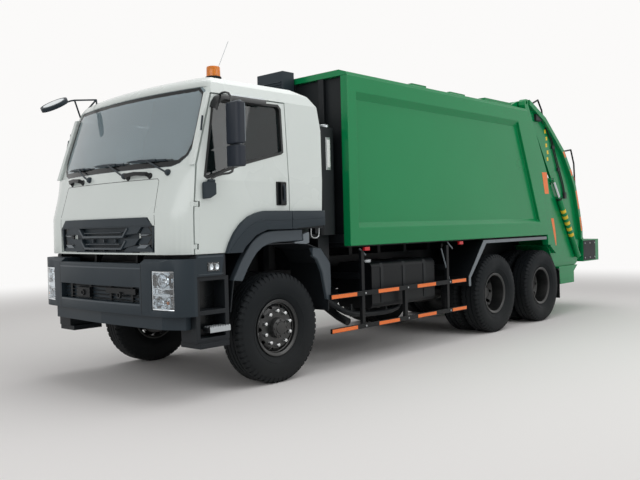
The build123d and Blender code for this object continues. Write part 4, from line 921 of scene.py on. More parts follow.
@dataclass
class CabGlazing(SubAssembly):
    """The glass, the fired black band round the windshield, and the wipers."""

    band: float = 0.036
    band_out: Point = (0, -1, 0.25)  # the way out of the leaning windshield
    corners: tuple[Point, ...] = ((0.9, 2.077), (1.0, 2.106), (1.073, 2.17), (1.106, 2.27), (1.1105, 2.36),
                                  (1.09, 2.69), (1.078, 2.742), (1.02, 2.796))
    pivots: tuple[float, float, float] = (-0.296, 0.324, 0.906)
    blade_back: float = 0.3  # from a pivot to the middle of its blade
    blade_height: float = 2.15
    blade_slope: float = 0.03

    def build(self) -> None:
        """Finish the glass and add its band and wipers."""
        dress("cab_glass", GLASS_WITH_PAINTED_REFLECTION)
        for side_name, _ in SIDES:
            dress(f"door_glass_{side_name}", DOOR_GLASS_WITH_PAINTED_SHADE)
        glass = Skin("cab_glass")
        outline = [*self.corners, *[(-x, z) for x, z in reversed(self.corners)]]
        band = Form().trace(glass, grown(outline, -self.band / 2 - 0.001), 0.05, self.band, 0.0012, 0.0,
                            self.band_out, loop=True)
        piece("windshield_band", band, BLACK_BAND_AND_PAINTED_SHADE, "cab")
        cowl = Form().trace(glass, [(-0.96, 2.112), (0.96, 2.112)], 0.05, 0.045, 0.0016, 0.0, self.band_out)
        piece("windshield_foot_band", cowl, BLACK_BAND_AND_PAINTED_SHADE, "cab")
        self.build_wipers(glass)

    def build_wipers(self, glass: Skin) -> None:
        """Add three parked wipers, each an arm and a blade with its rubber."""
        panel = Skin("cab_front")
        metal, rubber = Form(), Form()
        for pivot in self.pivots:
            root = panel.front(pivot, 2.025)
            metal.lathe([(-0.004, 0.03), (0.016, 0.029), (0.03, 0.02), (0.034, 0.0)], root, Along.Y, 20,
                        sign=-1)
            joint = root + Vector((-0.045, -0.026, 0.02))
            tip = glass.front(pivot - self.blade_back, self.blade_height) + AHEAD * 0.034
            knee = joint.lerp(tip, 0.45) + Vector((0, -0.012, 0.006))
            metal.tube([root + AHEAD * 0.022, joint, knee, tip], 0.0085, 8)
            blade = [glass.front(pivot - self.blade_back + step, self.blade_height - step * self.blade_slope)
                     for step in (-0.31, -0.24, -0.12, 0.0, 0.12, 0.24, 0.31)]
            for form, points, lift, section in (
                (rubber, blade, 0.004, (0.007, 0.008, 0.003)),
                (metal, blade[1:-1], 0.013, (0.016, 0.01, 0.001)),
                (metal, blade[2:-2], 0.022, (0.022, 0.012, 0.001)),
            ):
                form.bar([point + AHEAD * lift for point in points], AHEAD, *section)
        piece("wiper_arms", metal, GRAINED_PLASTIC, "cab", 0.0015)
        piece("wiper_rubbers", rubber, HOSE_RUBBER, "cab")


@dataclass
class FrontFace(SubAssembly):
    """The grille, the bumper's details, the lamps and the handles under the windshield."""

    nose: float = -1.223
    edge_back: float = 0.026  # how far the grille curves back at edge_x from its middle
    edge_x: float = 0.85
    lamp_x: tuple[float, float] = (0.866, 1.114)
    lamp_z: tuple[float, float] = (0.82, 1.156)
    lamp_back: float = -1.118
    bowls: tuple[tuple[float, float, float, float], ...] = (  # side, height, bowl's and bulb's radius
        (0.975, 1.072, 0.066, 0.014), (0.93, 0.88, 0.04, 0.011))

    def build(self) -> None:
        """Make the grille, bumper trim, lamps and handles."""
        self.build_grille()
        self.build_bumper()
        for side_name, sign in SIDES:
            self.build_lamp(side_name, sign)
        self.build_handles()

    def face(self, x: float, back: float = 0.0) -> float:
        """Return the Y of the grille's curved face at a side distance."""
        return at(self.nose + self.edge_back * (x / self.edge_x) ** 2 + back)

    def slab(self, form: Form, outline: Sequence[Point], front: float, back: float, sign: int = 1) -> None:
        """Add a plate that follows the grille's curve.

        Args:
            form: The form that gets it.
            outline: Its convex outline seen from the front, as (x, z).
            front: How far its face lies behind the grille's face.
            back: How far its back does.
            sign: The sign that its side distances get.
        """
        outline = [(sign * x, z) for x, z in outline]
        low, high = min(outline)[0], max(outline)[0]
        count = max(1, math.ceil((high - low) / 0.08))
        columns = []
        for index in range(count + 1):
            x = blended(low, high, index / count)
            bottom, top = crossings(outline, min(max(x, low + SAME_CORNER), high - SAME_CORNER))
            columns.append([(x, self.face(x, depth), z) for depth, z in (
                (front, bottom), (front, top), (back, top), (back, bottom))])
        form.rows(columns, closed=True, capped=True)

    def build_grille(self) -> None:
        """Make the grille: a plain top panel, wings, three slots with rails, and a black sheet of painted
        shade behind the wings' slots.
        """
        shell, rails, blades, shade_backing = Form(), Form(), Form(), Form()
        for outline, front, back in (
            ([(-0.735, 1.633), (-0.8, 1.56), (0.8, 1.56), (0.735, 1.633)], 0.004, 0.075),
            ([(-0.835, 1.56), (-0.833, 1.548), (0.833, 1.548), (0.835, 1.56)], 0.01, 0.075),
            ([(-0.833, 1.55), (-0.828, 1.312), (0.828, 1.312), (0.833, 1.55)], 0.052, 0.077),
            ([(-0.5, 1.322), (-0.5, 1.312), (0.5, 1.312), (0.5, 1.322)], 0.008, 0.06),
        ):
            self.slab(shell, outline, front, back)
        sided = (
            (shell, [(0.418, 1.549), (0.64, 1.549), (0.596, 1.492), (0.376, 1.478)], 0.012, 0.06),
            (shell, [(0.6, 1.549), (0.752, 1.549), (0.77, 1.484), (0.592, 1.484)], 0.03, 0.06),
            (shell, [(0.344, 1.44), (0.606, 1.446), (0.56, 1.388), (0.318, 1.35)], 0.012, 0.06),
            (shell, [(0.592, 1.462), (0.77, 1.462), (0.745, 1.39), (0.56, 1.39)], 0.03, 0.06),
            (shell, [(0.38, 1.374), (0.74, 1.384), (0.8, 1.322), (0.34, 1.322)], 0.022, 0.06),
            (shell, [(0.79, 1.549), (0.829, 1.549), (0.824, 1.322), (0.79, 1.322)], 0.014, 0.06),
            (blades, [(0.6, 1.48), (0.754, 1.48), (0.748, 1.468), (0.594, 1.468)], 0.013, 0.05),
            (blades, [(0.586, 1.386), (0.742, 1.386), (0.694, 1.354), (0.558, 1.354)], 0.013, 0.05),
            # A black sheet of painted shade behind the wings' slots.
            (shade_backing, [(0.6, 1.332), (0.812, 1.332), (0.812, 1.556), (0.772, 1.592), (0.6, 1.592)], 0.032,
             0.038),
        )
        for sign in (-1, 1):
            for form, outline, front, back in sided:
                self.slab(form, outline, front, back, sign)
        for path, width in (
            (((-0.43, 1.538), (-0.352, 1.462), (0.352, 1.462), (0.43, 1.538)), 0.02),
            (((-0.396, 1.424), (-0.322, 1.35), (0.322, 1.35), (0.396, 1.424)), 0.02),
            (((-0.33, 1.5), (0.33, 1.5)), 0.007),
            (((-0.3, 1.392), (0.3, 1.392)), 0.007),
        ):
            rails.bar([(x, self.face(x, 0.016), z) for x, z in stepped(path, 0.06)], AHEAD, width, 0.014,
                      0.03)
        for x in (-0.2, 0.0, 0.2):
            for heights in ((1.405, 1.44), (1.322, 1.345)):
                rails.bar([(x, self.face(x, 0.03), z) for z in heights], AHEAD, 0.01, 0.006, 0.02)
        piece("grille_shell", shell, GRAINED_PLASTIC, "cab", 0.004, replaces=["grille"])
        piece("grille_rails", rails, TRIM_WITH_PAINTED_HIGHLIGHT, "cab", 0.003)
        piece("grille_blades", blades, TRIM_WITH_BRIGHT_PAINTED_HIGHLIGHT, "cab", 0.002)
        piece("grille_shade_backing", shade_backing, BLACK_BAND_AND_PAINTED_SHADE, "cab")

    def build_bumper(self) -> None:
        """Finish the bumper; add painted highlight lines, painted shade at its gaps and what shows through its
        air opening.
        """
        dress("bumper", GRAINED_PLASTIC, 0.012, segments=3)
        skin = Skin("bumper")
        highlight_lines, gaps, inside, eyes = Form(), Form(), Form(), Form()
        # Pale lines a fraction of a millimetre proud along the bumper: painted highlights.
        for half, z, width, height in ((0.715, 1.178, 0.014, 0.0004), (0.7, 0.853, 0.018, 0.0003)):
            highlight_lines.trace(skin, [(-half, z), (half, z)], 0.08, width, height, 0.004)
        piece("bumper_highlight_lines", highlight_lines, TRIM_WITH_PAINTED_HIGHLIGHT, "chassis", 0.0015)
        # Dark lines of painted shade at the bumper's gaps.
        for x in (-0.722, 0.722):
            gaps.trace(skin, [(x, 1.214), (x, 0.77)], 0.05, 0.005, 0.0008)
        piece("bumper_gap_shade", gaps, BLACK_BAND_AND_PAINTED_SHADE, "chassis")
        for z in (0.88, 0.915, 0.95, 0.985):
            inside.bar([(x, at(-1.222), z) for x in (-0.69, 0.69)], AHEAD, 0.008, 0.012, 0.004)
        for x in (-0.56, -0.2, 0.16, 0.52):
            inside.block(1, (x - 0.016, x + 0.016), (-1.236, -1.218), (0.866, 1.006))
        inside.block(1, (0.1, 0.6), (-1.252, -1.222), (0.935, 0.99))
        inside.block(1, (-0.42, -0.18), (-1.258, -1.222), (0.88, 0.975))
        piece("bumper_air_bars", inside, CHASSIS_ENAMEL, "chassis", 0.003)
        for x in (-0.3, 0.35):
            eyes.lathe([(0.0, 0.03), (0.022, 0.03), (0.022, 0.018), (0.004, 0.016)], (x, at(-1.25), 0.925),
                       Along.Y, 24, sign=-1)
        piece("tow_eyes", eyes, CAST_IRON, "chassis")
        # The radiator core, and a thin dark panel above it as painted shade in the gap between the cab and the
        # bumper.
        core = Form().block(1, (-0.41, 0.41), (-0.93, -0.86), (0.8, 1.225))
        core.block(1, (-1.04, 1.04), (-0.88, -0.87), (1.04, 1.288))
        piece("radiator_core_and_shade_panel", core, CHASSIS_ENAMEL, "chassis", 0.004)

    def build_lamp(self, side_name: str, sign: int) -> None:
        """Make one headlamp: its lens, housing, bowls, bulbs, turn signal and sills."""
        (low_x, high_x), (low_z, high_z), back = self.lamp_x, self.lamp_z, at(self.lamp_back)
        deep = back - 0.006  # the inside of the housing's back
        skin = Skin("headlamps")

        def front(x: float, z: float, behind: float = 0.0) -> Vector:
            return skin.front(sign * x, z) + Vector((0, behind, 0))

        xs = [blended(low_x + 0.004, high_x - 0.004, index / 6) for index in range(7)]
        zs = (low_z + 0.004, low_z + 0.06, 0.945, 0.96, high_z - 0.06, high_z - 0.004)
        lens = Form().rows([[front(x, z, 0.001) for x in xs] for z in zs])
        bmesh.ops.solidify(lens.mesh, geom=lens.mesh.faces[:], thickness=0.004)
        piece(f"headlamp_lens_{side_name}", lens, CLEAR_LENS, "chassis", smooth=40, replaces=["headlamps"])
        centre = Vector(((low_x + high_x) / 2, (low_z + high_z) / 2))
        rows = []
        for point in stepped([(low_x, low_z), (high_x, low_z), (high_x, high_z), (low_x, high_z)], 0.06,
                             loop=True):
            inner = point + (centre - point).normalized() * 0.01
            top = front(min(max(point.x, low_x + 0.003), high_x - 0.003),
                        min(max(point.y, low_z + 0.003), high_z - 0.003)).y
            rows.append([(sign * corner.x, y, corner.y) for corner, y in (
                (point, top), (inner, top + 0.001), (inner, back - 0.004), (point, back))])
        housing = Form().rows([*rows, rows[0]], closed=True)
        housing.box(self.lamp_x, (back - 0.004, back), self.lamp_z, sign)
        piece(f"headlamp_housing_{side_name}", housing, LAMP_BOWL, "chassis")
        bowls, bulbs, sills = Form(), Form(), Form()
        for x, z, radius, bulb in self.bowls:
            mouth = front(x, z).y + 0.03
            depth = deep - mouth
            profile = [(depth, 0.0), (depth * 0.97, radius * 0.35), (depth * 0.75, radius * 0.68),
                       (depth * 0.35, radius * 0.9), (0.0, radius), (0.0, radius + 0.006)]
            bowls.lathe(profile, (sign * x, mouth, z), Along.Y, 36)
            bulbs.dome((sign * x, (mouth + deep) / 2, z), bulb, 1.8)
        bowls.box((0.875, 0.905), (deep - 0.03, deep), (1.012, 1.132), sign)
        bowls.box((0.88, 1.095), (deep - 0.075, deep), (0.962, 0.996), sign)
        piece(f"headlamp_bowls_{side_name}", bowls, LAMP_BOWL, "chassis", smooth=40)
        piece(f"headlamp_bulbs_{side_name}", bulbs, CLEAR_LENS, "chassis", smooth=60)
        face = front(1.045, 0.88).y + 0.028
        turn = Form().box((0.99, 1.096), (face, deep), (0.836, 0.93), sign)
        piece(f"headlamp_turn_{side_name}", turn, CLEAR_LENS, "chassis", 0.006)
        amber = Form().dome((sign * 1.045, face + 0.004, 0.884), 0.016, 1.6)
        piece(f"headlamp_turn_bulb_{side_name}", amber, AMBER_LENS, "chassis", smooth=60)
        for z in (0.945, 1.004):
            rows = []
            for x in (0.874, 0.94, 1.02, 1.104):
                near = front(x, 0.96, 0.01).y
                rows.append([(sign * x, y, height) for y, height in (
                    (near, z), (deep, z), (deep, z + 0.005), (near, z + 0.005))])
            sills.rows(rows, closed=True, capped=True)
        piece(f"headlamp_sills_{side_name}", sills, LAMP_BOWL, "chassis")

    def build_handles(self) -> None:
        """Add the two grab handles under the windshield."""
        panel, handles = Skin("cab_front"), Form()
        for low, high in ((-0.728, -0.412), (0.35, 0.712)):
            first, last = (panel.front(x, 2.012) for x in (low + 0.03, high - 0.03))
            span = [first + Vector((-0.01, -0.012, -0.006)), first + Vector((0.006, -0.044, 0.012)),
                    first.lerp(last, 0.5) + Vector((0, -0.05, 0.022)),
                    last + Vector((-0.006, -0.044, 0.012)), last + Vector((0.01, -0.012, -0.006))]
            handles.bar(span, AHEAD, 0.034, 0.01, 0.01)
            for foot in (first, last):
                handles.lathe([(-0.004, 0.03), (0.012, 0.027), (0.02, 0.015), (0.021, 0.0)],
                              foot + Vector((0, 0, -0.006)), Along.Y, 16, sign=-1)
        piece("front_handles", handles, BLACK_BAND_AND_PAINTED_SHADE, "cab", 0.003)


@dataclass
class Mirrors(SubAssembly):
    """The two door mirrors on their tubes, and the mirror that looks down in front of the cab."""

    head_x: tuple[float, float] = (1.29, 1.4675)
    head_y: tuple[float, float] = (-0.738, -0.65)
    heads: tuple[tuple[float, float], ...] = ((2.258, 2.628), (2.058, 2.248))
    tube: float = 0.01
    dish: tuple[tuple[float, float], ...] = (  # share of the kerb mirror's radius, height of its glass
        (0.0, 0.0505), (0.45, 0.0498), (0.8, 0.048), (1.0, 0.046), (1.0, 0.043))

    def build(self) -> None:
        """Make both door mirrors and finish the corner mirror."""
        for side_name, sign in SIDES:
            self.build_heads(side_name, sign)
            self.build_arms(side_name, sign)
        dress("kerb_mirror", GRAINED_PLASTIC, 0.002)
        centre = Vector((-1.13, at(-1.06), 2.865))
        normal = Vector((0.2, -0.55, 0.9)).normalized()
        across = Vector((0.35, 1, 0.55))
        across = (across - normal * across.dot(normal)).normalized()
        turns = [math.tau * step / 40 for step in range(40)]
        rings = [[centre + normal * height + across * 0.118 * share * math.cos(turn)
                  + normal.cross(across) * 0.066 * share * math.sin(turn) for turn in turns]
                 for share, height in self.dish]
        piece("kerb_mirror_glass", Form().rows(rings, closed=True), MIRROR, "cab")

    def build_heads(self, side_name: str, sign: int) -> None:
        """Make the two mirror heads of one door, with their glass, and their clamps and edge painted pale as
        highlights.
        """
        body = f"{side_name}_door"
        (inner, outer), (front, rear) = self.head_x, self.head_y
        plan = [(inner, rear), (outer, rear), (outer, rear - 0.034), (outer - 0.01, front + 0.02),
                (outer - 0.034, front + 0.002), (inner + 0.02, front), (inner + 0.004, front + 0.01),
                (inner, front + 0.026)]
        housings, faces, caps = Form(), Form(), Form()
        for low, high in self.heads:
            housings.prism([(sign * x, at(y)) for x, y in plan], Along.Z, low, high)
            faces.block(sign, (inner + 0.012, outer - 0.01), (rear - 0.004, rear + 0.0015),
                        (low + 0.012, high - 0.012))
            caps.block(sign, (inner + 0.03, outer - 0.02), (rear - 0.05, rear - 0.022),
                       (high - 0.004, high + 0.012))
        piece(f"mirror_heads_{side_name}", housings, MIRROR_SHELL, body, 0.014, smooth=50,
              replaces=[f"mirror_{side_name}"])
        piece(f"mirror_faces_{side_name}", faces, MIRROR, body, 0.002)
        piece(f"mirror_clamps_{side_name}", caps, TRIM_WITH_BRIGHT_PAINTED_HIGHLIGHT, body, 0.004)
        low, high = self.heads[0]
        edge = Form().block(sign, (outer - 0.006, outer + 0.0015), (rear - 0.012, rear - 0.002),
                            (low + 0.02, high - 0.015))
        piece(f"mirror_edge_highlights_{side_name}", edge, TRIM_WITH_BRIGHT_PAINTED_HIGHLIGHT, body, 0.001)

    def build_arms(self, side_name: str, sign: int) -> None:
        """Carry one door's mirrors on two bent tubes, the lower one from a moulded foot."""
        body, stem = f"{side_name}_door", self.head_x[0] + 0.035
        arms = Form()
        for path in (
            [(1.222, -0.85, 1.925), (1.228, -0.848, 1.958), (1.24, -0.815, 1.98), (1.262, -0.76, 1.998),
             (1.296, -0.706, 2.006), (stem - 0.006, -0.69, 2.02), (stem, -0.687, 2.045),
             (stem, -0.687, 2.3)],
            [(stem, -0.687, 2.3), (stem, -0.687, 2.64), (stem - 0.006, -0.687, 2.685),
             (1.296, -0.688, 2.716), (1.256, -0.69, 2.731), (1.215, -0.692, 2.733), (1.176, -0.694, 2.722),
             (1.16, -0.695, 2.71)],
        ):
            arms.tube(side_path(sign, path), self.tube)
        piece(f"mirror_tubes_{side_name}", arms, GLOSS_ABS, body, smooth=60)
        foot = [(-0.938, 1.778), (-0.87, 1.786), (-0.806, 1.82), (-0.806, 1.918), (-0.822, 1.93),
                (-0.925, 1.93), (-0.94, 1.915)]
        base = Form().plate(sign, foot, (1.199, 1.24))
        base.block(sign, (1.204, 1.238), (-0.885, -0.815), (1.926, 1.952))
        piece(f"mirror_foot_{side_name}", base, GRAINED_PLASTIC, body, 0.008)


@dataclass
class Roof(SubAssembly):
    """The beacon and the aerial."""

    beacon: tuple[float, float] = (0.6, -0.29)  # X and station
    seat: float = 2.972
    grips: int = 24  # ribs round the beacon's base
    grip_circle: float = 0.0735

    def build(self) -> None:
        """Make the beacon and the aerial."""
        x, station = self.beacon
        centre = (x, at(station), self.seat)
        base = Form().lathe([(-0.03, 0.0), (-0.03, 0.078), (0.014, 0.08), (0.02, 0.076), (0.044, 0.072),
                             (0.05, 0.068), (0.05, 0.0)], centre, Along.Z)
        for index in range(self.grips):
            angle = math.tau * index / self.grips
            out = Vector((math.cos(angle), math.sin(angle), 0)) * self.grip_circle
            base.lathe([(0.018, 0.006), (0.046, 0.006), (0.047, 0.0)], Vector(centre) + out, Along.Z, 6)
        piece("beacon_base", base, CHASSIS_ENAMEL, "cab", 0.001, replaces=["beacon"])
        profile = [(0.046, 0.068), (0.052, 0.069), (0.138, 0.067), (0.146, 0.063), (0.15, 0.052),
                   (0.152, 0.0)]
        piece("beacon_lens", Form().lathe(profile, centre, Along.Z), AMBER_LENS, "cab", smooth=50)
        bulb = Form().lathe([(0.05, 0.03), (0.07, 0.03), (0.078, 0.02), (0.12, 0.018), (0.128, 0.0)], centre,
                            Along.Z, 20)
        piece("beacon_reflector", bulb, LAMP_BOWL, "cab")
        mast = Form().lathe([(-0.01, 0.022), (0.014, 0.021), (0.026, 0.01), (0.03, 0.0)],
                            (0.5, at(-0.23), 2.938), Along.Z, 20)
        mast.tube(side_path(1, [(0.5, -0.23, 2.955), (0.5, -0.222, 2.99), (0.5, -0.004, 3.436)]), 0.0035, 8)
        piece("aerial", mast, TURNED_STEEL, "cab", smooth=60)


# === chassis ============================================================================
@dataclass
class Mudguards(SubAssembly):
    """The front mudguards with their lips, and the cab's steps with their lamps."""

    side_x: float = 1.2
    step_x: float = 1.212
    tread_rows: int = 12

    def build(self) -> None:
        """Finish the guards and steps and add their lips, lamps and treads."""
        dress("front_mudguards", SPLASH_PLASTIC, 0.008)
        for side_name, sign in SIDES:
            self.build_lips(side_name, sign)
            self.build_steps(side_name, sign)

    def build_lips(self, side_name: str, sign: int) -> None:
        """Add the broad bands along one guard's edge and its grey end plate, both coloured paler as painted
        highlights, and the hook under the cab.
        """
        profile = [(self.side_x + out, share) for out, share in (
            (-0.06, 0.0), (0.001, 0.0), (0.008, 0.07), (0.002, 0.45), (0.008, 0.92), (0.001, 1.0),
            (-0.03, 1.0), (-0.03, 0.9), (-0.01, 0.8), (-0.05, 0.1))]
        bands = {
            "front": ([(-0.611, 1.042), (-0.508, 1.213), (-0.44, 1.305), (-0.377, 1.377), (-0.31, 1.427),
                       (-0.246, 1.459), (-0.18, 1.476), (-0.113, 1.484), (0.09, 1.487), (0.292, 1.489)],
                      [(-0.502, 1.029), (-0.436, 1.133), (-0.376, 1.215), (-0.316, 1.282), (-0.245, 1.329),
                       (-0.17, 1.356), (-0.09, 1.368), (0.0, 1.372), (0.15, 1.374), (0.292, 1.374)]),
            "rear": ([(0.44, 1.3), (0.561, 1.288), (0.61, 1.232), (0.701, 1.13), (0.706, 0.94),
                      (0.69, 0.748)],
                     [(0.44, 1.215), (0.5, 1.18), (0.535, 1.12), (0.575, 1.04), (0.598, 0.93),
                      (0.64, 0.76)]),
        }
        for name, edges in bands.items():
            piece(f"guard_band_{name}_{side_name}", Form().band(sign, *edges, profile), TRIM_WITH_PAINTED_HIGHLIGHT,
                  "chassis", smooth=30)
        end = [(0.3, 1.44), (0.372, 1.462), (0.384, 1.455), (0.384, 1.352), (0.34, 1.34), (0.18, 1.352),
               (0.18, 1.366), (0.3, 1.376)]
        piece(f"guard_end_{side_name}", Form().plate(sign, end, (self.side_x - 0.03, self.side_x + 0.016)),
              TRIM_WITH_BRIGHT_PAINTED_HIGHLIGHT, "chassis", 0.005)
        hook = [(0.48, 1.5), (0.477, 1.44), (0.486, 1.412), (0.512, 1.396), (0.56, 1.396), (0.588, 1.412),
                (0.597, 1.44), (0.599, 1.51)]
        piece(f"cab_hook_{side_name}", Form().tube(on_side(sign, 1.15, hook), 0.007, 8), TURNED_STEEL, "cab",
              smooth=60)

    def build_steps(self, side_name: str, sign: int) -> None:
        """Add one side's step trim with painted highlight lines, side lamp, dark painted shade in the step
        recesses and the aluminium tread.
        """
        face, trim, lens, bowls, lining = self.step_x, Form(), Form(), Form(), Form()
        # Pale lines along the trim's top and bottom: painted highlights.
        for z, width in ((1.272, 0.012), (1.118, 0.007)):
            trim.bar(on_side(sign, face, [(-1.015, z), (-0.735, z)]), OUT[side_name], width, 0.003)
        piece(f"step_highlight_lines_{side_name}", trim, TRIM_WITH_PAINTED_HIGHLIGHT, "chassis", 0.0015)
        cover = [(-1.03, 1.29), (-0.716, 1.29), (-0.756, 1.104), (-1.03, 1.104)]
        piece(f"step_cover_{side_name}", Form().plate(sign, cover, (face - 0.004, face + 0.001)),
              GRAINED_PLASTIC, "chassis")
        rim = Form().block(sign, (face - 0.002, face + 0.005), (-0.914, -0.78), (1.141, 1.221))
        piece(f"side_lamp_frame_{side_name}", rim, GLOSS_ABS, "chassis", 0.003)
        for stations in ((-0.908, -0.848), (-0.845, -0.786)):
            lens.block(sign, (face + 0.002, face + 0.012), stations, (1.147, 1.215))
        piece(f"side_lamp_lens_{side_name}", lens, CLEAR_LENS, "chassis", 0.005)
        for middle in (-0.878, -0.815):
            bowls.lathe([(0.0055, 0.0), (0.0058, 0.014), (0.0085, 0.026)], (sign * face, at(middle), 1.181),
                        steps=20, sign=sign)
        piece(f"side_lamp_bowls_{side_name}", bowls, LAMP_BOWL, "chassis")
        # Thin dark sheets in the step recesses: painted shade.
        for heights in ((0.563, 0.757), (0.803, 1.057)):
            lining.block(sign, (1.04, 1.046), (-0.992, -0.712), heights)
        piece(f"step_recess_shade_{side_name}", lining, BLACK_BAND_AND_PAINTED_SHADE, "chassis")
        tread = Form().block(sign, (1.12, 1.221), (-0.905, -0.672), (0.6, 0.646))
        for index in range(self.tread_rows):
            station = blended(-0.896, -0.681, index / (self.tread_rows - 1))
            for x in (1.135, 1.162, 1.189, 1.21):
                tread.block(sign, (x - 0.009, x + 0.009), (station - 0.006, station + 0.006), (0.645, 0.655))
        piece(f"step_tread_{side_name}", tread, ALUMINIUM, "chassis", 0.0015)


@dataclass
class ChassisParts(SubAssembly):
    """What hangs on the frame: tanks, guards, fenders, markers, the air intake and the axles."""

    guard_face: float = 1.232
    rails: tuple[tuple[float, float], ...] = ((0.394, 0.445), (0.75, 0.802))
    strips: tuple[tuple[float, float], ...] = ((0.68, 1.087), (1.458, 1.834), (2.199, 2.583), (2.944, 3.27))
    bolt_stations: tuple[float, ...] = (1.23, 2.01, 2.9)
    strap_stations: tuple[float, ...] = (1.66, 2.08, 2.5)
    strap_half: float = 0.025
    louvre_count: int = 9
    louvre_pitch: float = 0.03

    def build(self) -> None:
        """Finish the frame's nodes and add the small parts."""
        for finish, nodes in (
            (CHASSIS_ENAMEL, ("frame", "rear_suspension", "side_guards", "rear_fenders", "exhaust",
                              "battery_box", "fuel_tank")),
            (CAST_IRON, ("engine", "front_axle", "rear_axles", "knuckle_left", "knuckle_right")),
            (GRAINED_PLASTIC, ("air_intake",)),
            (PAINTED_PLATE, ("hydraulic_tank",)),
        ):
            for node in nodes:
                dress(node, finish, 0.004)
        self.build_guards()
        self.build_fuel_tank()
        self.build_oil_tank()
        self.build_air_pipe()
        self.build_intake()
        self.build_fenders()

    def build_guards(self) -> None:
        """Add orange strips and bolts along both rails of both side guards."""
        strips, bolts = Form(), Form()
        for _, sign in SIDES:
            for low, high in self.rails:
                for stations in self.strips:
                    strips.block(sign, (self.guard_face - 0.001, self.guard_face + 0.0015), stations,
                                 (low + 0.006, high - 0.006))
                for station in self.bolt_stations:
                    bolts.lathe([(0.0, 0.012), (0.007, 0.011), (0.008, 0.0)],
                                (sign * self.guard_face, at(station), (low + high) / 2), steps=6, sign=sign)
        piece("guard_strips", strips, ORANGE_SHEET, "chassis")
        piece("guard_bolts", bolts, TURNED_STEEL, "chassis")

    def build_fuel_tank(self) -> None:
        """Add the fuel tank's straps and cap."""
        straps = Form()
        outline = [(1.124, 0.64), (1.105, 0.6), (1.06, 0.566), (0.67, 0.566), (0.625, 0.6), (0.606, 0.64),
                   (0.606, 1.02), (0.625, 1.075), (0.67, 1.094), (1.06, 1.094), (1.105, 1.075),
                   (1.124, 1.02)]
        for station in self.strap_stations:
            centre = Vector((0.865, at(station), 0.83))
            rows = []
            for point in stepped([(x, at(station), z) for x, z in outline], 0.2, loop=True):
                out = ((point - centre) * Vector((1, 0, 1))).normalized()
                rows.append([point + Vector((0, along, 0)) + out * lift for along, lift in (
                    (-self.strap_half, -0.004), (-self.strap_half, 0.003), (self.strap_half, 0.003),
                    (self.strap_half, -0.004))])
            straps.rows([*rows, rows[0]], closed=True)
        piece("tank_straps", straps, PAINTED_PLATE, "chassis")
        cap = Form().lathe([(-0.01, 0.055), (0.03, 0.055), (0.036, 0.048), (0.037, 0.0)],
                           (0.98, at(1.56), 1.09), Along.Z, 32)
        piece("fuel_cap", cap, ALUMINIUM, "chassis", 0.002)

    def build_oil_tank(self) -> None:
        """Add the oil tank's cap and gauge."""
        lid = Form().lathe([(-0.004, 0.058), (0.026, 0.058), (0.034, 0.05), (0.035, 0.0)],
                           (1.02, at(0.85), 2.56), Along.Z, 32)
        piece("oil_cap", lid, ALUMINIUM, "chassis", 0.002)
        gauge = Form().block(1, (1.089, 1.094), (0.795, 0.868), (2.108, 2.452))
        piece("oil_gauge_frame", gauge, TURNED_STEEL, "chassis", 0.002)
        glass = Form().block(1, (1.092, 1.1), (0.808, 0.855), (2.135, 2.428))
        piece("oil_gauge_glass", glass, GAUGE_GLASS, "chassis", 0.003)

    def build_air_pipe(self) -> None:
        """Add the broad steel air pipe under the frame, with its two hangers."""
        path = [(0.8, 0.86, 0.78), (0.9, 0.88, 0.74), (0.985, 0.915, 0.69), (1.0, 0.99, 0.645),
                (1.0, 1.078, 0.598), (1.0, 1.16, 0.562), (1.0, 1.248, 0.538), (1.0, 1.39, 0.516),
                (1.0, 1.533, 0.505), (1.0, 1.7, 0.497), (0.995, 1.873, 0.493), (0.98, 2.02, 0.5),
                (0.95, 2.153, 0.515), (0.9, 2.26, 0.54)]
        pipe = Form().tube(side_path(1, path), 0.032, 16)
        for station in (1.248, 1.873):
            pipe.block(1, (0.988, 1.012), (station - 0.012, station + 0.012), (0.5, 0.64))
        piece("air_pipe", pipe, PAINTED_PLATE, "chassis", smooth=60)

    def build_intake(self) -> None:
        """Add the intake stack's louvres and clamp bands."""
        louvres, bands = Form(), Form()
        for index in range(self.louvre_count):
            z = 2.9 + index * self.louvre_pitch
            louvres.plate(1, [(0.787, z), (0.775, z - 0.01), (0.776, z - 0.013), (0.791, z - 0.003)],
                          (0.09, 0.45))
        piece("intake_louvres", louvres, GRAINED_PLASTIC, "chassis")
        for z in (1.53, 2.25, 2.84):
            bands.rows([[(x, at(station), z - 0.014), (x, at(station), z + 0.014)] for x, station in (
                (0.058, 0.788), (0.482, 0.788), (0.482, 0.967), (0.058, 0.967), (0.058, 0.788))])
        bmesh.ops.solidify(bands.mesh, geom=bands.mesh.faces[:], thickness=0.003)
        piece("intake_bands", bands, CHASSIS_ENAMEL, "chassis")

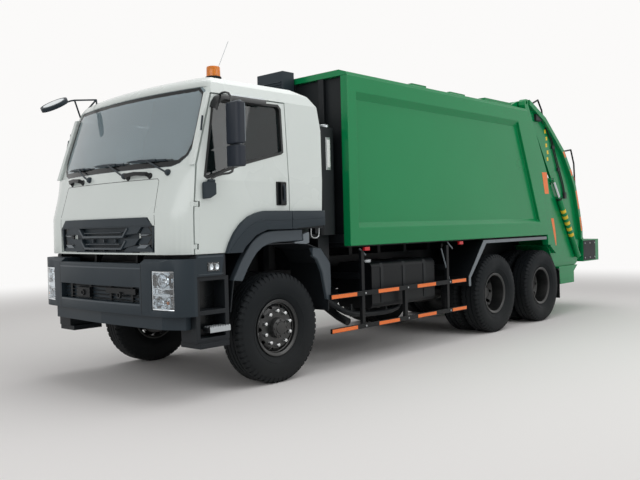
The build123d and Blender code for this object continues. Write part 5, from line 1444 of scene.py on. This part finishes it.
    def build_fenders(self) -> None:
        """Add the rear fenders' edges and the guards' struts, painted pale as highlights, the inner plates and
        the red side lamps.
        """
        edges, reds, liners, struts = Form(), Form(), Form(), Form()
        outline = [(3.328, 0.69), (3.328, 0.815), (3.717, 1.273), (5.56, 1.273), (5.56, 1.23), (3.786, 1.23),
                   (3.376, 0.796), (3.376, 0.69)]
        for _, sign in SIDES:
            edges.plate(sign, outline, (1.235, 1.242))
            liners.block(sign, (0.6, 0.606), (3.76, 5.88), (0.96, 1.25))
            for station in (1.262, 3.157):
                reds.block(sign, (1.214, 1.248), (station - 0.042, station + 0.042), (1.236, 1.276))
            for ends in (((2.777, 1.199), (2.945, 0.806)), ((2.918, 1.276), (3.031, 1.189)),
                         ((1.194, 1.262), (1.296, 1.186))):
                struts.tube(on_side(sign, 1.19, ends), 0.009, 10)
        piece("fender_edge_highlights", edges, TRIM_WITH_BRIGHT_PAINTED_HIGHLIGHT, "chassis", 0.001)
        piece("fender_inner_plates", liners, CHASSIS_ENAMEL, "chassis")
        piece("side_lamps_red", reds, RED_LENS, "chassis", 0.004)
        piece("guard_struts", struts, TRIM_WITH_BRIGHT_PAINTED_HIGHLIGHT, "chassis", smooth=60)


# === body and tailgate ==================================================================
@dataclass
class LoadBody(SubAssembly):
    """The green load body and the fillets under its top rails."""

    panel_x: float = 1.202
    edge_x: float = 1.25
    rail_z: tuple[float, float] = (2.872, 2.947)
    rail_stations: tuple[float, float] = (1.128, 5.06)

    def build(self) -> None:
        """Finish the body and add its details."""
        for node in ("body_sides", "body_roof"):
            dress(node, BODY_ENAMEL, 0.008, segments=3)
        dress("body_floor", CHASSIS_ENAMEL, 0.005)
        dress("body_headboard", PAINTED_PLATE, 0.006)
        fillets, inset = Form(), 0.0005
        inner, outer, (low, high) = self.panel_x - inset, self.edge_x - inset, self.rail_z
        for _, sign in SIDES:
            fillets.prism([(sign * inner, low), (sign * outer, high), (sign * inner, high)], Along.Y,
                          *(at(station) for station in self.rail_stations))
        piece("rail_fillets", fillets, BODY_ENAMEL, "chassis", 0.002)


@dataclass
class Tailgate(SubAssembly):
    """The tailgate: its sides, strips, lamps, packer cylinders, pipes and the loading tub."""

    rim_x: float = 1.215
    ear: tuple[float, float, float] = (1.2, 5.9, 2.14)  # a cylinder's upper eye: side, station, height
    slope: float = 54.5  # the cylinders' slope in degrees
    dashes: int = 5
    lamp_station: float = 6.56

    def build(self) -> None:
        """Finish the tailgate's nodes and add its details."""
        for node in ("tailgate_sides", "tailgate_shell", "packer_barrels", "packer_slide", "packer_blade",
                     "loading_tub"):
            dress(node, BODY_ENAMEL, 0.006)
        dress("grab_rails", CHASSIS_ENAMEL)
        self.build_strips()
        self.build_lamps()
        self.build_cylinders()
        self.build_tub()

    def on_cylinder(self, sign: int, distance: float) -> Vector:
        """Return the point on one packer cylinder's centre line at a distance down from its upper eye."""
        (x, station, z), slope = self.ear, math.radians(self.slope)
        return Vector((sign * x, at(station + distance * math.cos(slope)), z - distance * math.sin(slope)))

    def build_strips(self) -> None:
        """Add the orange strips on the flange, and the yellow dashes beside them and on the cylinders."""
        orange, yellow = Form(), Form()
        first, last = Vector((5.75, 2.925)), Vector((5.838, 2.4))
        for side_name, sign in SIDES:
            way = OUT[side_name]
            for outline in ([(5.5, 2.245), (5.655, 2.25), (5.716, 1.925), (5.585, 1.92)],
                            [(5.775, 1.545), (5.862, 1.548), (5.925, 1.3), (5.94, 1.14), (5.925, 1.117)]):
                orange.plate(sign, outline, (self.rim_x - 0.001, self.rim_x + 0.002))
            for path in (((6.262, 2.6), (6.33, 2.515)), ((6.5, 2.325), (6.565, 2.235)),
                         ((6.705, 1.99), (6.745, 1.87), (6.8, 1.69)), ((6.838, 1.56), (6.892, 1.33))):
                orange.bar(on_side(sign, self.rim_x, path), way, 0.042, 0.0015)
            for index in range(self.dashes):
                shift = Vector((0.022 if index % 2 else -0.004, 0))
                ends = [first.lerp(last, (index + share) / self.dashes) + shift for share in (0.1, 0.64)]
                yellow.bar(on_side(sign, 1.1552, ends), way, 0.052, 0.0012)
            for index in range(self.dashes):
                ends = [self.on_cylinder(sign, 0.56 + (index + share) * 0.115) for share in (0.0, 0.5)]
                yellow.tube(ends, 0.0428, 24)
        piece("tailgate_orange", orange, ORANGE_SHEET, "tailgate")
        piece("tailgate_yellow", yellow, YELLOW_SHEET, "tailgate")

    def build_lamps(self) -> None:
        """Add the lamp clusters low on the hopper's back, under the tub, and the high marker lamps."""
        boxes, reds, ambers, clears = Form(), Form(), Form(), Form()
        face = self.lamp_station
        for _, sign in SIDES:
            boxes.block(sign, (0.64, 1.1), (face - 0.002, face + 0.028), (0.535, 0.665))
            for limits, form in (((0.655, 0.785), clears), ((0.8, 0.935), reds), ((0.95, 1.085), ambers)):
                form.block(sign, limits, (face + 0.026, face + 0.044), (0.548, 0.652))
            reds.lathe([(0.0, 0.04), (0.014, 0.038), (0.022, 0.02), (0.023, 0.0)],
                       (sign * 1.185, at(6.655), 2.18), Along.Y, 20)
        piece("rear_lamp_boxes", boxes, GRAINED_PLASTIC, "tailgate", 0.006)
        piece("rear_lamps_red", reds, RED_LENS, "tailgate", 0.004)
        piece("rear_lamps_amber", ambers, AMBER_LENS, "tailgate", 0.004)
        piece("rear_lamps_clear", clears, CLEAR_LENS, "tailgate", 0.004)

    def build_cylinders(self) -> None:
        """Sleeve the packer's rods in chrome, add glands and pins, and run the clipped steel pipes."""
        rods, glands, pins, valves, pipes = Form(), Form(), Form(), Form(), Form()
        run = [(5.56, 3.085), (5.64, 3.07), (5.74, 3.01), (5.85, 2.905), (5.945, 2.78), (6.02, 2.64),
               (6.09, 2.5), (6.16, 2.37), (6.235, 2.245), (6.3, 2.13), (6.345, 2.03), (6.365, 1.93)]
        for _, sign in SIDES:
            for form, low, high, radius in (
                (rods, 0.034, 1.392, 0.0246),
                (glands, 0.333, 0.347, 0.0465),
                (glands, 0.353, 0.367, 0.0465),
            ):
                form.tube([self.on_cylinder(sign, low), self.on_cylinder(sign, high)], radius, 28)
            eye = self.on_cylinder(sign, 0)
            pins.tube([eye + Vector((sign * reach, 0, 0)) for reach in (-0.006, 0.0145)], 0.036, 24)
            valves.block(sign, (1.154, 1.196), (5.4, 5.59), (3.03, 3.12))
            for station in (5.43, 5.48, 5.53):
                valves.tube(on_side(sign, 1.175, [(station, 3.015), (station, 3.14)]), 0.016)
            valves.block(sign, (1.154, 1.19), (6.33, 6.4), (1.86, 1.96))
            for shift, drop in ((0.0, 0.0), (0.036, 0.022)):
                pipes.tube(on_side(sign, 1.172, [(station - shift, z - drop) for station, z in run]), 0.0085,
                           10)
            for station, z in ((5.8, 2.945), (5.99, 2.66), (6.17, 2.32)):
                pipes.block(sign, (1.154, 1.184), (station - 0.05, station + 0.035), (z - 0.028, z + 0.022))
        piece("packer_rods", rods, HARD_CHROME, "packer_slide", smooth=60)
        piece("barrel_glands", glands, PAINTED_PLATE, "tailgate", smooth=60)
        piece("rod_pins", pins, TURNED_STEEL, "packer_slide", smooth=60)
        piece("valve_blocks", valves, CAST_IRON, "tailgate", 0.003)
        piece("packer_pipes", pipes, PAINTED_PLATE, "tailgate", smooth=60)

    def build_tub(self) -> None:
        """Add the bolted plates on the tub's sides."""
        plates, bolts = Form(), Form()
        for _, sign in SIDES:
            plates.block(sign, (1.1995, 1.2055), (6.975, 7.455), (0.835, 1.165))
            for station in (7.02, 7.215, 7.41):
                for z in (0.88, 1.12):
                    bolts.lathe([(0.0, 0.013), (0.009, 0.013), (0.01, 0.0)], (sign * 1.205, at(station), z),
                                steps=6, sign=sign)
        piece("tub_plates", plates, PAINTED_PLATE, "loading_tub", 0.003)
        piece("tub_bolts", bolts, TURNED_STEEL, "loading_tub")


# === interior ===========================================================================
@dataclass
class Interior(SubAssembly):
    """What shows through the glass: dashboard, seats and the inside mirror."""

    seats: tuple[tuple[str, float, float, float], ...] = (  # name, middle, half width and the floor under it
        ("driver", 0.62, 0.245, 1.44), ("outer", -0.72, 0.22, 1.44), ("middle", -0.24, 0.22, 1.692))
    cushion_steps: int = 48
    cushion_power: int = 5  # how square the cushions are: 2 is an ellipse
    pull: float = 0.025  # how far their sides pull in

    def build(self) -> None:
        """Finish the dashboard, pad the seats and hang the mirror."""
        dress("dashboard", DASH_SKIN, 0.008)
        for seat in self.seats:
            self.build_seat(*seat)
        head = Form().prism([(-0.38, 2.478), (-0.3, 2.455), (0.08, 2.5), (0.08, 2.6), (-0.3, 2.575),
                             (-0.38, 2.54)], Along.Y, at(-0.86), at(-0.835))
        piece("inside_mirror", head, GLOSS_ABS, "cab", 0.008)
        stalk = side_path(-1, [(0.12, -0.84, 2.56), (0.12, -0.83, 2.64), (0.12, -0.84, 2.74)])
        piece("inside_mirror_stalk", Form().tube(stalk, 0.008, 8), GRAINED_PLASTIC, "cab", smooth=60)

    def cushion(self, centre: Vector, half: Vector, lean: float) -> Form:
        """Make a crowned cushion whose sides pull in between its corners.

        Args:
            centre: Its middle.
            half: Its half width, half thickness and half height, before it leans.
            lean: How far it leans back, in degrees.

        Returns:
            Its form.
        """
        turn = Matrix.Rotation(-math.radians(lean), 3, "X")
        power, rows = self.cushion_power, []
        for share, out in ((0.0, -0.86), (0.6, -0.92), (0.86, -0.86), (0.965, -0.62), (1.0, -0.2),
                           (1.0, 0.2), (0.965, 0.62), (0.86, 0.86), (0.6, 0.96), (0.3, 0.99), (0.0, 1.0)):
            row = []
            for step in range(self.cushion_steps):
                angle = math.tau * step / self.cushion_steps
                cosine, sine = math.cos(angle), math.sin(angle)
                reach = share * (abs(cosine) ** power + abs(sine) ** power) ** (-1 / power)
                reach *= 1 - self.pull * math.cos(2 * angle) ** 2
                place = Vector((half.x * reach * cosine, -half.y * out, half.z * reach * sine))
                row.append(centre + turn @ place)
            rows.append(row)
        return Form().rows(rows, closed=True)

    def build_seat(self, name: str, middle: float, half: float, floor: float) -> None:
        """Make one seat: base, cushion, back and headrest.

        Args:
            name: The seat's name.
            middle: Its middle along X.
            half: Its half width.
            floor: What it stands on.
        """
        base = Form().block(1, (middle - half + 0.04, middle + half - 0.04), (-0.29, 0.14), (floor, 1.752))
        for x in (middle - 0.07, middle + 0.07):
            base.tube(side_path(1, [(x, 0.372, 2.4), (x, 0.386, 2.47)]), 0.007, 8)
        piece(f"seat_base_{name}", base, DASH_SKIN, "cab", 0.004, replaces=["seats"])
        for pad, (station, z), size, lean in (
            ("cushion", (-0.087, 1.815), (half, 0.063, 0.24), 90),
            ("back", (0.296, 2.094), (half, 0.052, 0.336), 12),
            ("headrest", (0.388, 2.516), (0.128, 0.04, 0.082), 4),
        ):
            form = self.cushion(Vector((middle, at(station), z)), Vector(size), lean)
            made = piece(f"seat_{pad}_{name}", form, SEAT_CLOTH, "cab", smooth=60, replaces=["seats"])


# === wheels =============================================================================
@dataclass
class Wheels(SubAssembly):
    """Ten tyres with moulded tread, black steel rims, and bright nut caps on the front wheels."""

    tyre_radius: float = 0.535
    tyre_half: float = 0.145
    tread_half: float = 0.101
    bead_radius: float = 0.2543
    twin_half: float = 0.1625  # from the middle of a twin to each of its tyres
    pitches: int = 54  # tread blocks round the tyre
    groove: float = 0.013
    block_share: float = 0.62
    wall_share: float = 0.06  # what a groove's sloping wall takes of the pitch
    sway: float = 0.003  # how far the grooves zigzag
    cap_circle: float = 0.1675
    cap_count: int = 10
    cap_reach: float = 0.118  # from the front wheel's middle to the caps' tips
    hub_circle: float = 0.078
    hub_bolts: int = 8

    def build(self) -> None:
        """Make the tyres and finish the wheels of all three axles."""
        for side_name, sign in SIDES:
            self.build_front(side_name, sign)
            for number in (1, 2):
                self.build_rear(number, side_name)

    def build_front(self, side_name: str, sign: int) -> None:
        """Finish one steered wheel."""
        body = f"front_{side_name}_wheel"
        low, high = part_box(f"front_tyre_{side_name}")
        middle = (low + high) / 2
        piece(f"front_tyre_rubber_{side_name}", self.tyre(Form(), middle, 3), TYRE_RUBBER, body, smooth=28,
              replaces=[f"front_tyre_{side_name}"])
        dress(f"front_wheel_{side_name}", WHEEL_ENAMEL, 0.004)
        caps, hub, lip = Form(), Form(), Form()
        for centre in around(middle, self.cap_circle, self.cap_count, math.pi / self.cap_count):
            caps.lathe([(0.076, 0.0225), (0.104, 0.0215), (0.113, 0.0155), (self.cap_reach, 0.0)], centre,
                       steps=16, sign=sign)
        piece(f"front_nut_caps_{side_name}", caps, NUT_CAP, body)
        for centre in around(middle, self.hub_circle, self.hub_bolts):
            hub.lathe([(0.12, 0.009), (0.146, 0.008), (0.149, 0.0)], centre, steps=6, sign=sign)
        hub.lathe([(0.139, 0.06), (0.147, 0.056), (0.15, 0.03), (0.15, 0.0)], middle, steps=40, sign=sign)
        piece(f"front_hub_bolts_{side_name}", hub, WHEEL_ENAMEL, body)
        for profile in (
            [(0.094, 0.2745), (0.1045, 0.2745), (0.1065, 0.27), (0.1045, 0.2655), (0.094, 0.2655)],
            [(0.05, 0.2462), (0.06, 0.2462), (0.063, 0.24), (0.06, 0.234), (0.05, 0.234)],
        ):
            lip.lathe(profile, middle, steps=96, sign=sign, closed=True)
        piece(f"front_rim_rings_{side_name}", lip, WHEEL_ENAMEL, body)

    def build_rear(self, number: int, side_name: str) -> None:
        """Finish one pair of twin wheels."""
        body = f"rear_{number}_{side_name}_wheel"
        low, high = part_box(f"rear_tyre_{number}_{side_name}")
        middle = (low + high) / 2
        tyres = Form()
        for offset in (-self.twin_half, self.twin_half):
            self.tyre(tyres, middle + Vector((offset, 0, 0)), 2)
        piece(f"rear_tyre_rubber_{number}_{side_name}", tyres, TYRE_RUBBER, body, smooth=28,
              replaces=[f"rear_tyre_{number}_{side_name}"])
        dress(f"rear_wheel_{number}_{side_name}", WHEEL_ENAMEL, 0.004)

    def half_section(self, grooves: int) -> list[tuple[float, float, str]]:
        """Return half of a tyre's section as (offset, radius, zone), from the middle of the tread outwards.

        Args:
            grooves: How many grooves run round the tread.

        Returns:
            The points; a zone is crown, groove, shoulder or wall.
        """
        top, wide = self.tyre_radius, self.tread_half
        spacing = 2 * wide / (grooves + 1)
        centres = [spacing * (index - (grooves - 1) / 2) for index in range(grooves)]
        points = [] if 0 in [round(c, 6) for c in centres] else [(0.0, top, "crown")]
        for centre in (c for c in centres if c >= -1e-6):
            for offset, zone in ((-0.0065, "crown"), (-0.0045, "groove"), (0.0045, "groove"),
                                 (0.0065, "crown")):
                if centre + offset > 0:
                    points.append((centre + offset, top, zone))
            if centre < 1e-6:
                points.insert(0, (0.0, top, "groove"))
        return points + [(wide * 0.8, top, "crown"), (wide * 0.83, top, "shoulder"),
                         (wide, top - 0.001, "shoulder"), (wide + 0.016, top - 0.012, "shoulder"),
                         (wide + 0.029, top - 0.042, "shoulder"), (wide + 0.032, top - 0.05, "wall"),
                         (wide + 0.038, top - 0.066, "wall"), (self.tyre_half - 0.003, top - 0.095, "wall"),
                         (self.tyre_half, top - 0.127, "wall"), (self.tyre_half - 0.004, top - 0.16, "wall"),
                         (wide + 0.031, top - 0.192, "wall"), (wide + 0.033, top - 0.195, "wall"),
                         (wide + 0.022, top - 0.214, "wall"), (wide + 0.008, top - 0.236, "wall"),
                         (wide - 0.008, top - 0.252, "wall"), (wide - 0.016, top - 0.262, "wall"),
                         (wide - 0.019, self.bead_radius, "wall")]

    def tyre(self, form: Form, centre: Vector, grooves: int) -> Form:
        """Add one tyre with its tread cut in.

        Args:
            form: The form that gets it.
            centre: The wheel's middle.
            grooves: How many grooves run round the tread.

        Returns:
            The form.
        """
        half = self.half_section(grooves)
        section = [(-offset, radius, zone) for offset, radius, zone in reversed(half) if offset > 0] + half
        rings = []
        for step in range(self.pitches * 4):
            pitch, part = divmod(step, 4)
            share = (0.0, self.block_share, self.block_share + self.wall_share, 1 - self.wall_share)[part]
            angle = math.tau * (pitch + share) / self.pitches
            sway = self.sway if part in (1, 2) else -self.sway
            ring = []
            for offset, radius, zone in section:
                cut = zone == "groove" or (zone == "shoulder" and part >= 2)
                shift = sway if zone in ("crown", "groove") and abs(offset) > 1e-6 else 0
                reach = radius - (self.groove if cut else 0)
                ring.append(centre + Vector((offset + shift, reach * math.cos(angle),
                                             reach * math.sin(angle))))
            rings.append(ring)
        return form.rows([*rings, rings[0]], closed=True)


# === studio =============================================================================
@dataclass
class Studio(SubAssembly):
    """A pale floor with a backdrop, soft lights and the camera."""

    camera_place: tuple[float, float, float] = (6.345, -4.967, 1.519)  # X, station and height
    heading: float = 42.73  # degrees to the left of rearwards
    pitch: float = -0.712
    roll: float = -1.409
    lens_mm: float = 41.5  # on a 36 mm wide sensor
    shift: tuple[float, float] = (-0.0045, -0.008)
    floor_size: float = 160.0
    floor_colour: str = "#f1efee"
    backdrop_colour: str = "#fbfaf9"
    floor_fade: tuple[float, float] = (7.0, 15.0)  # where the lit floor turns into the plain backdrop
    sky_strength: float = 0.42

    def build(self) -> None:
        """Make the floor, the lights and the camera."""
        self.build_floor()
        self.build_lights()
        self.build_camera()
        bpy.context.scene.view_settings.view_transform = "Standard"

    def build_floor(self) -> None:
        """Make one pale flat sheet that fades into the plain backdrop far from the truck."""
        half = self.floor_size / 2
        made = bpy.data.materials.new("Pale studio floor")
        tree = empty_tree(made)
        matt = add_node(tree, "ShaderNodeBsdfDiffuse", {"Color": linear(self.floor_colour)})
        shine = add_node(tree, "ShaderNodeEmission", {"Color": linear(self.backdrop_colour)})
        place = add_node(tree, "ShaderNodeTexCoord").outputs["Object"]
        away = add_node(tree, "ShaderNodeVectorMath", {0: place}, operation="LENGTH").outputs["Value"]
        near, far = self.floor_fade
        share = add_node(tree, "ShaderNodeMapRange", {"Value": away, "From Min": near, "From Max": far},
                         interpolation_type="SMOOTHSTEP").outputs[0]
        both = add_node(tree, "ShaderNodeMath", {0: share, 1: self.seen(tree)},
                        operation="MULTIPLY").outputs[0]
        mixed = add_node(tree, "ShaderNodeMixShader", {0: both, 1: matt.outputs[0], 2: shine.outputs[0]})
        add_node(tree, "ShaderNodeOutputMaterial", {"Surface": mixed.outputs[0]})
        data = bpy.data.meshes.new("studio_floor")
        data.from_pydata([(-half, -half, 0), (half, -half, 0), (half, half, 0), (-half, half, 0)], [],
                         [(0, 1, 2, 3)])
        data.materials.append(made)
        floor = add_object("studio_floor", data)

    def seen(self, tree: bpy.types.NodeTree) -> bpy.types.NodeSocket:
        """Return 1 for rays that show the backdrop: to the camera, in a reflection, or through glass."""
        rays = add_node(tree, "ShaderNodeLightPath").outputs
        direct = add_node(tree, "ShaderNodeMath", {0: rays["Is Camera Ray"], 1: rays["Is Transmission Ray"]},
                          operation="MAXIMUM").outputs[0]
        return add_node(tree, "ShaderNodeMath", {0: direct, 1: rays["Is Glossy Ray"]},
                        operation="MAXIMUM").outputs[0]

    def add_light(self, name: str, place: Point, target: Point, size: Point, watts: float) -> None:
        """Add one soft box.

        Args:
            name: The light's name.
            place: Where it hangs.
            target: What it faces.
            size: Its width and height in metres.
            watts: Its power.
        """
        data = bpy.data.lights.new(name, "AREA")
        data.shape = "RECTANGLE"
        data.size, data.size_y = size
        data.energy = watts
        lamp = add_object(name, data)
        lamp.location = place
        lamp.rotation_euler = (Vector(target) - Vector(place)).to_track_quat("-Z", "Y").to_euler()

    def build_lights(self) -> None:
        """Hang the soft boxes and set an even pale sky."""
        self.add_light("top_box", (1.0, 0.0, 9.0), (0.0, 0.0, 1.0), (9.0, 13.0), 430.0)
        self.add_light("side_box", (11.0, 1.0, 6.0), (0.0, 0.5, 1.5), (9.0, 5.0), 230.0)
        self.add_light("front_box", (2.5, -13.0, 5.5), (0.0, -3.0, 1.6), (8.0, 5.0), 250.0)
        world = bpy.data.worlds.new("studio_sky")
        tree = empty_tree(world)
        strength = add_node(tree, "ShaderNodeMapRange", {
            "Value": self.seen(tree), "To Min": self.sky_strength, "To Max": 1.0,
        }).outputs[0]
        shine = add_node(tree, "ShaderNodeBackground", {
            "Color": linear(self.backdrop_colour), "Strength": strength,
        })
        add_node(tree, "ShaderNodeOutputWorld", {"Surface": shine.outputs[0]})
        bpy.context.scene.world = world

    def build_camera(self) -> None:
        """Set the camera at a standing person's height, off the truck's left front corner."""
        yaw, pitch, roll = (math.radians(value) for value in (self.heading, self.pitch, self.roll))
        forward = Vector((-math.sin(yaw) * math.cos(pitch), math.cos(yaw) * math.cos(pitch),
                          math.sin(pitch)))
        level = forward.cross(Vector((0, 0, 1))).normalized()
        upright = level.cross(forward)
        right = level * math.cos(roll) + upright * math.sin(roll)
        up = upright * math.cos(roll) - level * math.sin(roll)
        data = bpy.data.cameras.new("camera")
        data.sensor_width = 36.0
        data.lens = self.lens_mm
        data.shift_x, data.shift_y = self.shift
        data.clip_end = 200.0
        camera = add_object("camera", data)
        axes = Matrix((right, up, -forward)).transposed().to_4x4()
        x, station, z = self.camera_place
        camera.matrix_world = Matrix.Translation((x, at(station), z)) @ axes
        bpy.context.scene.camera = camera


GROUPS: tuple[type[SubAssembly], ...] = (
    CabShell, CabGlazing, FrontFace, Mirrors, Roof, Interior, Mudguards, Wheels, ChassisParts, LoadBody,
    Tailgate, Studio)


def main() -> None:
    """Build the groups in order."""
    logging.basicConfig(level=logging.INFO, format="%(message)s")
    for group in GROUPS:
        log.info("== %s", group.__name__)
        group().build()


if __name__ == "__main__":
    main()
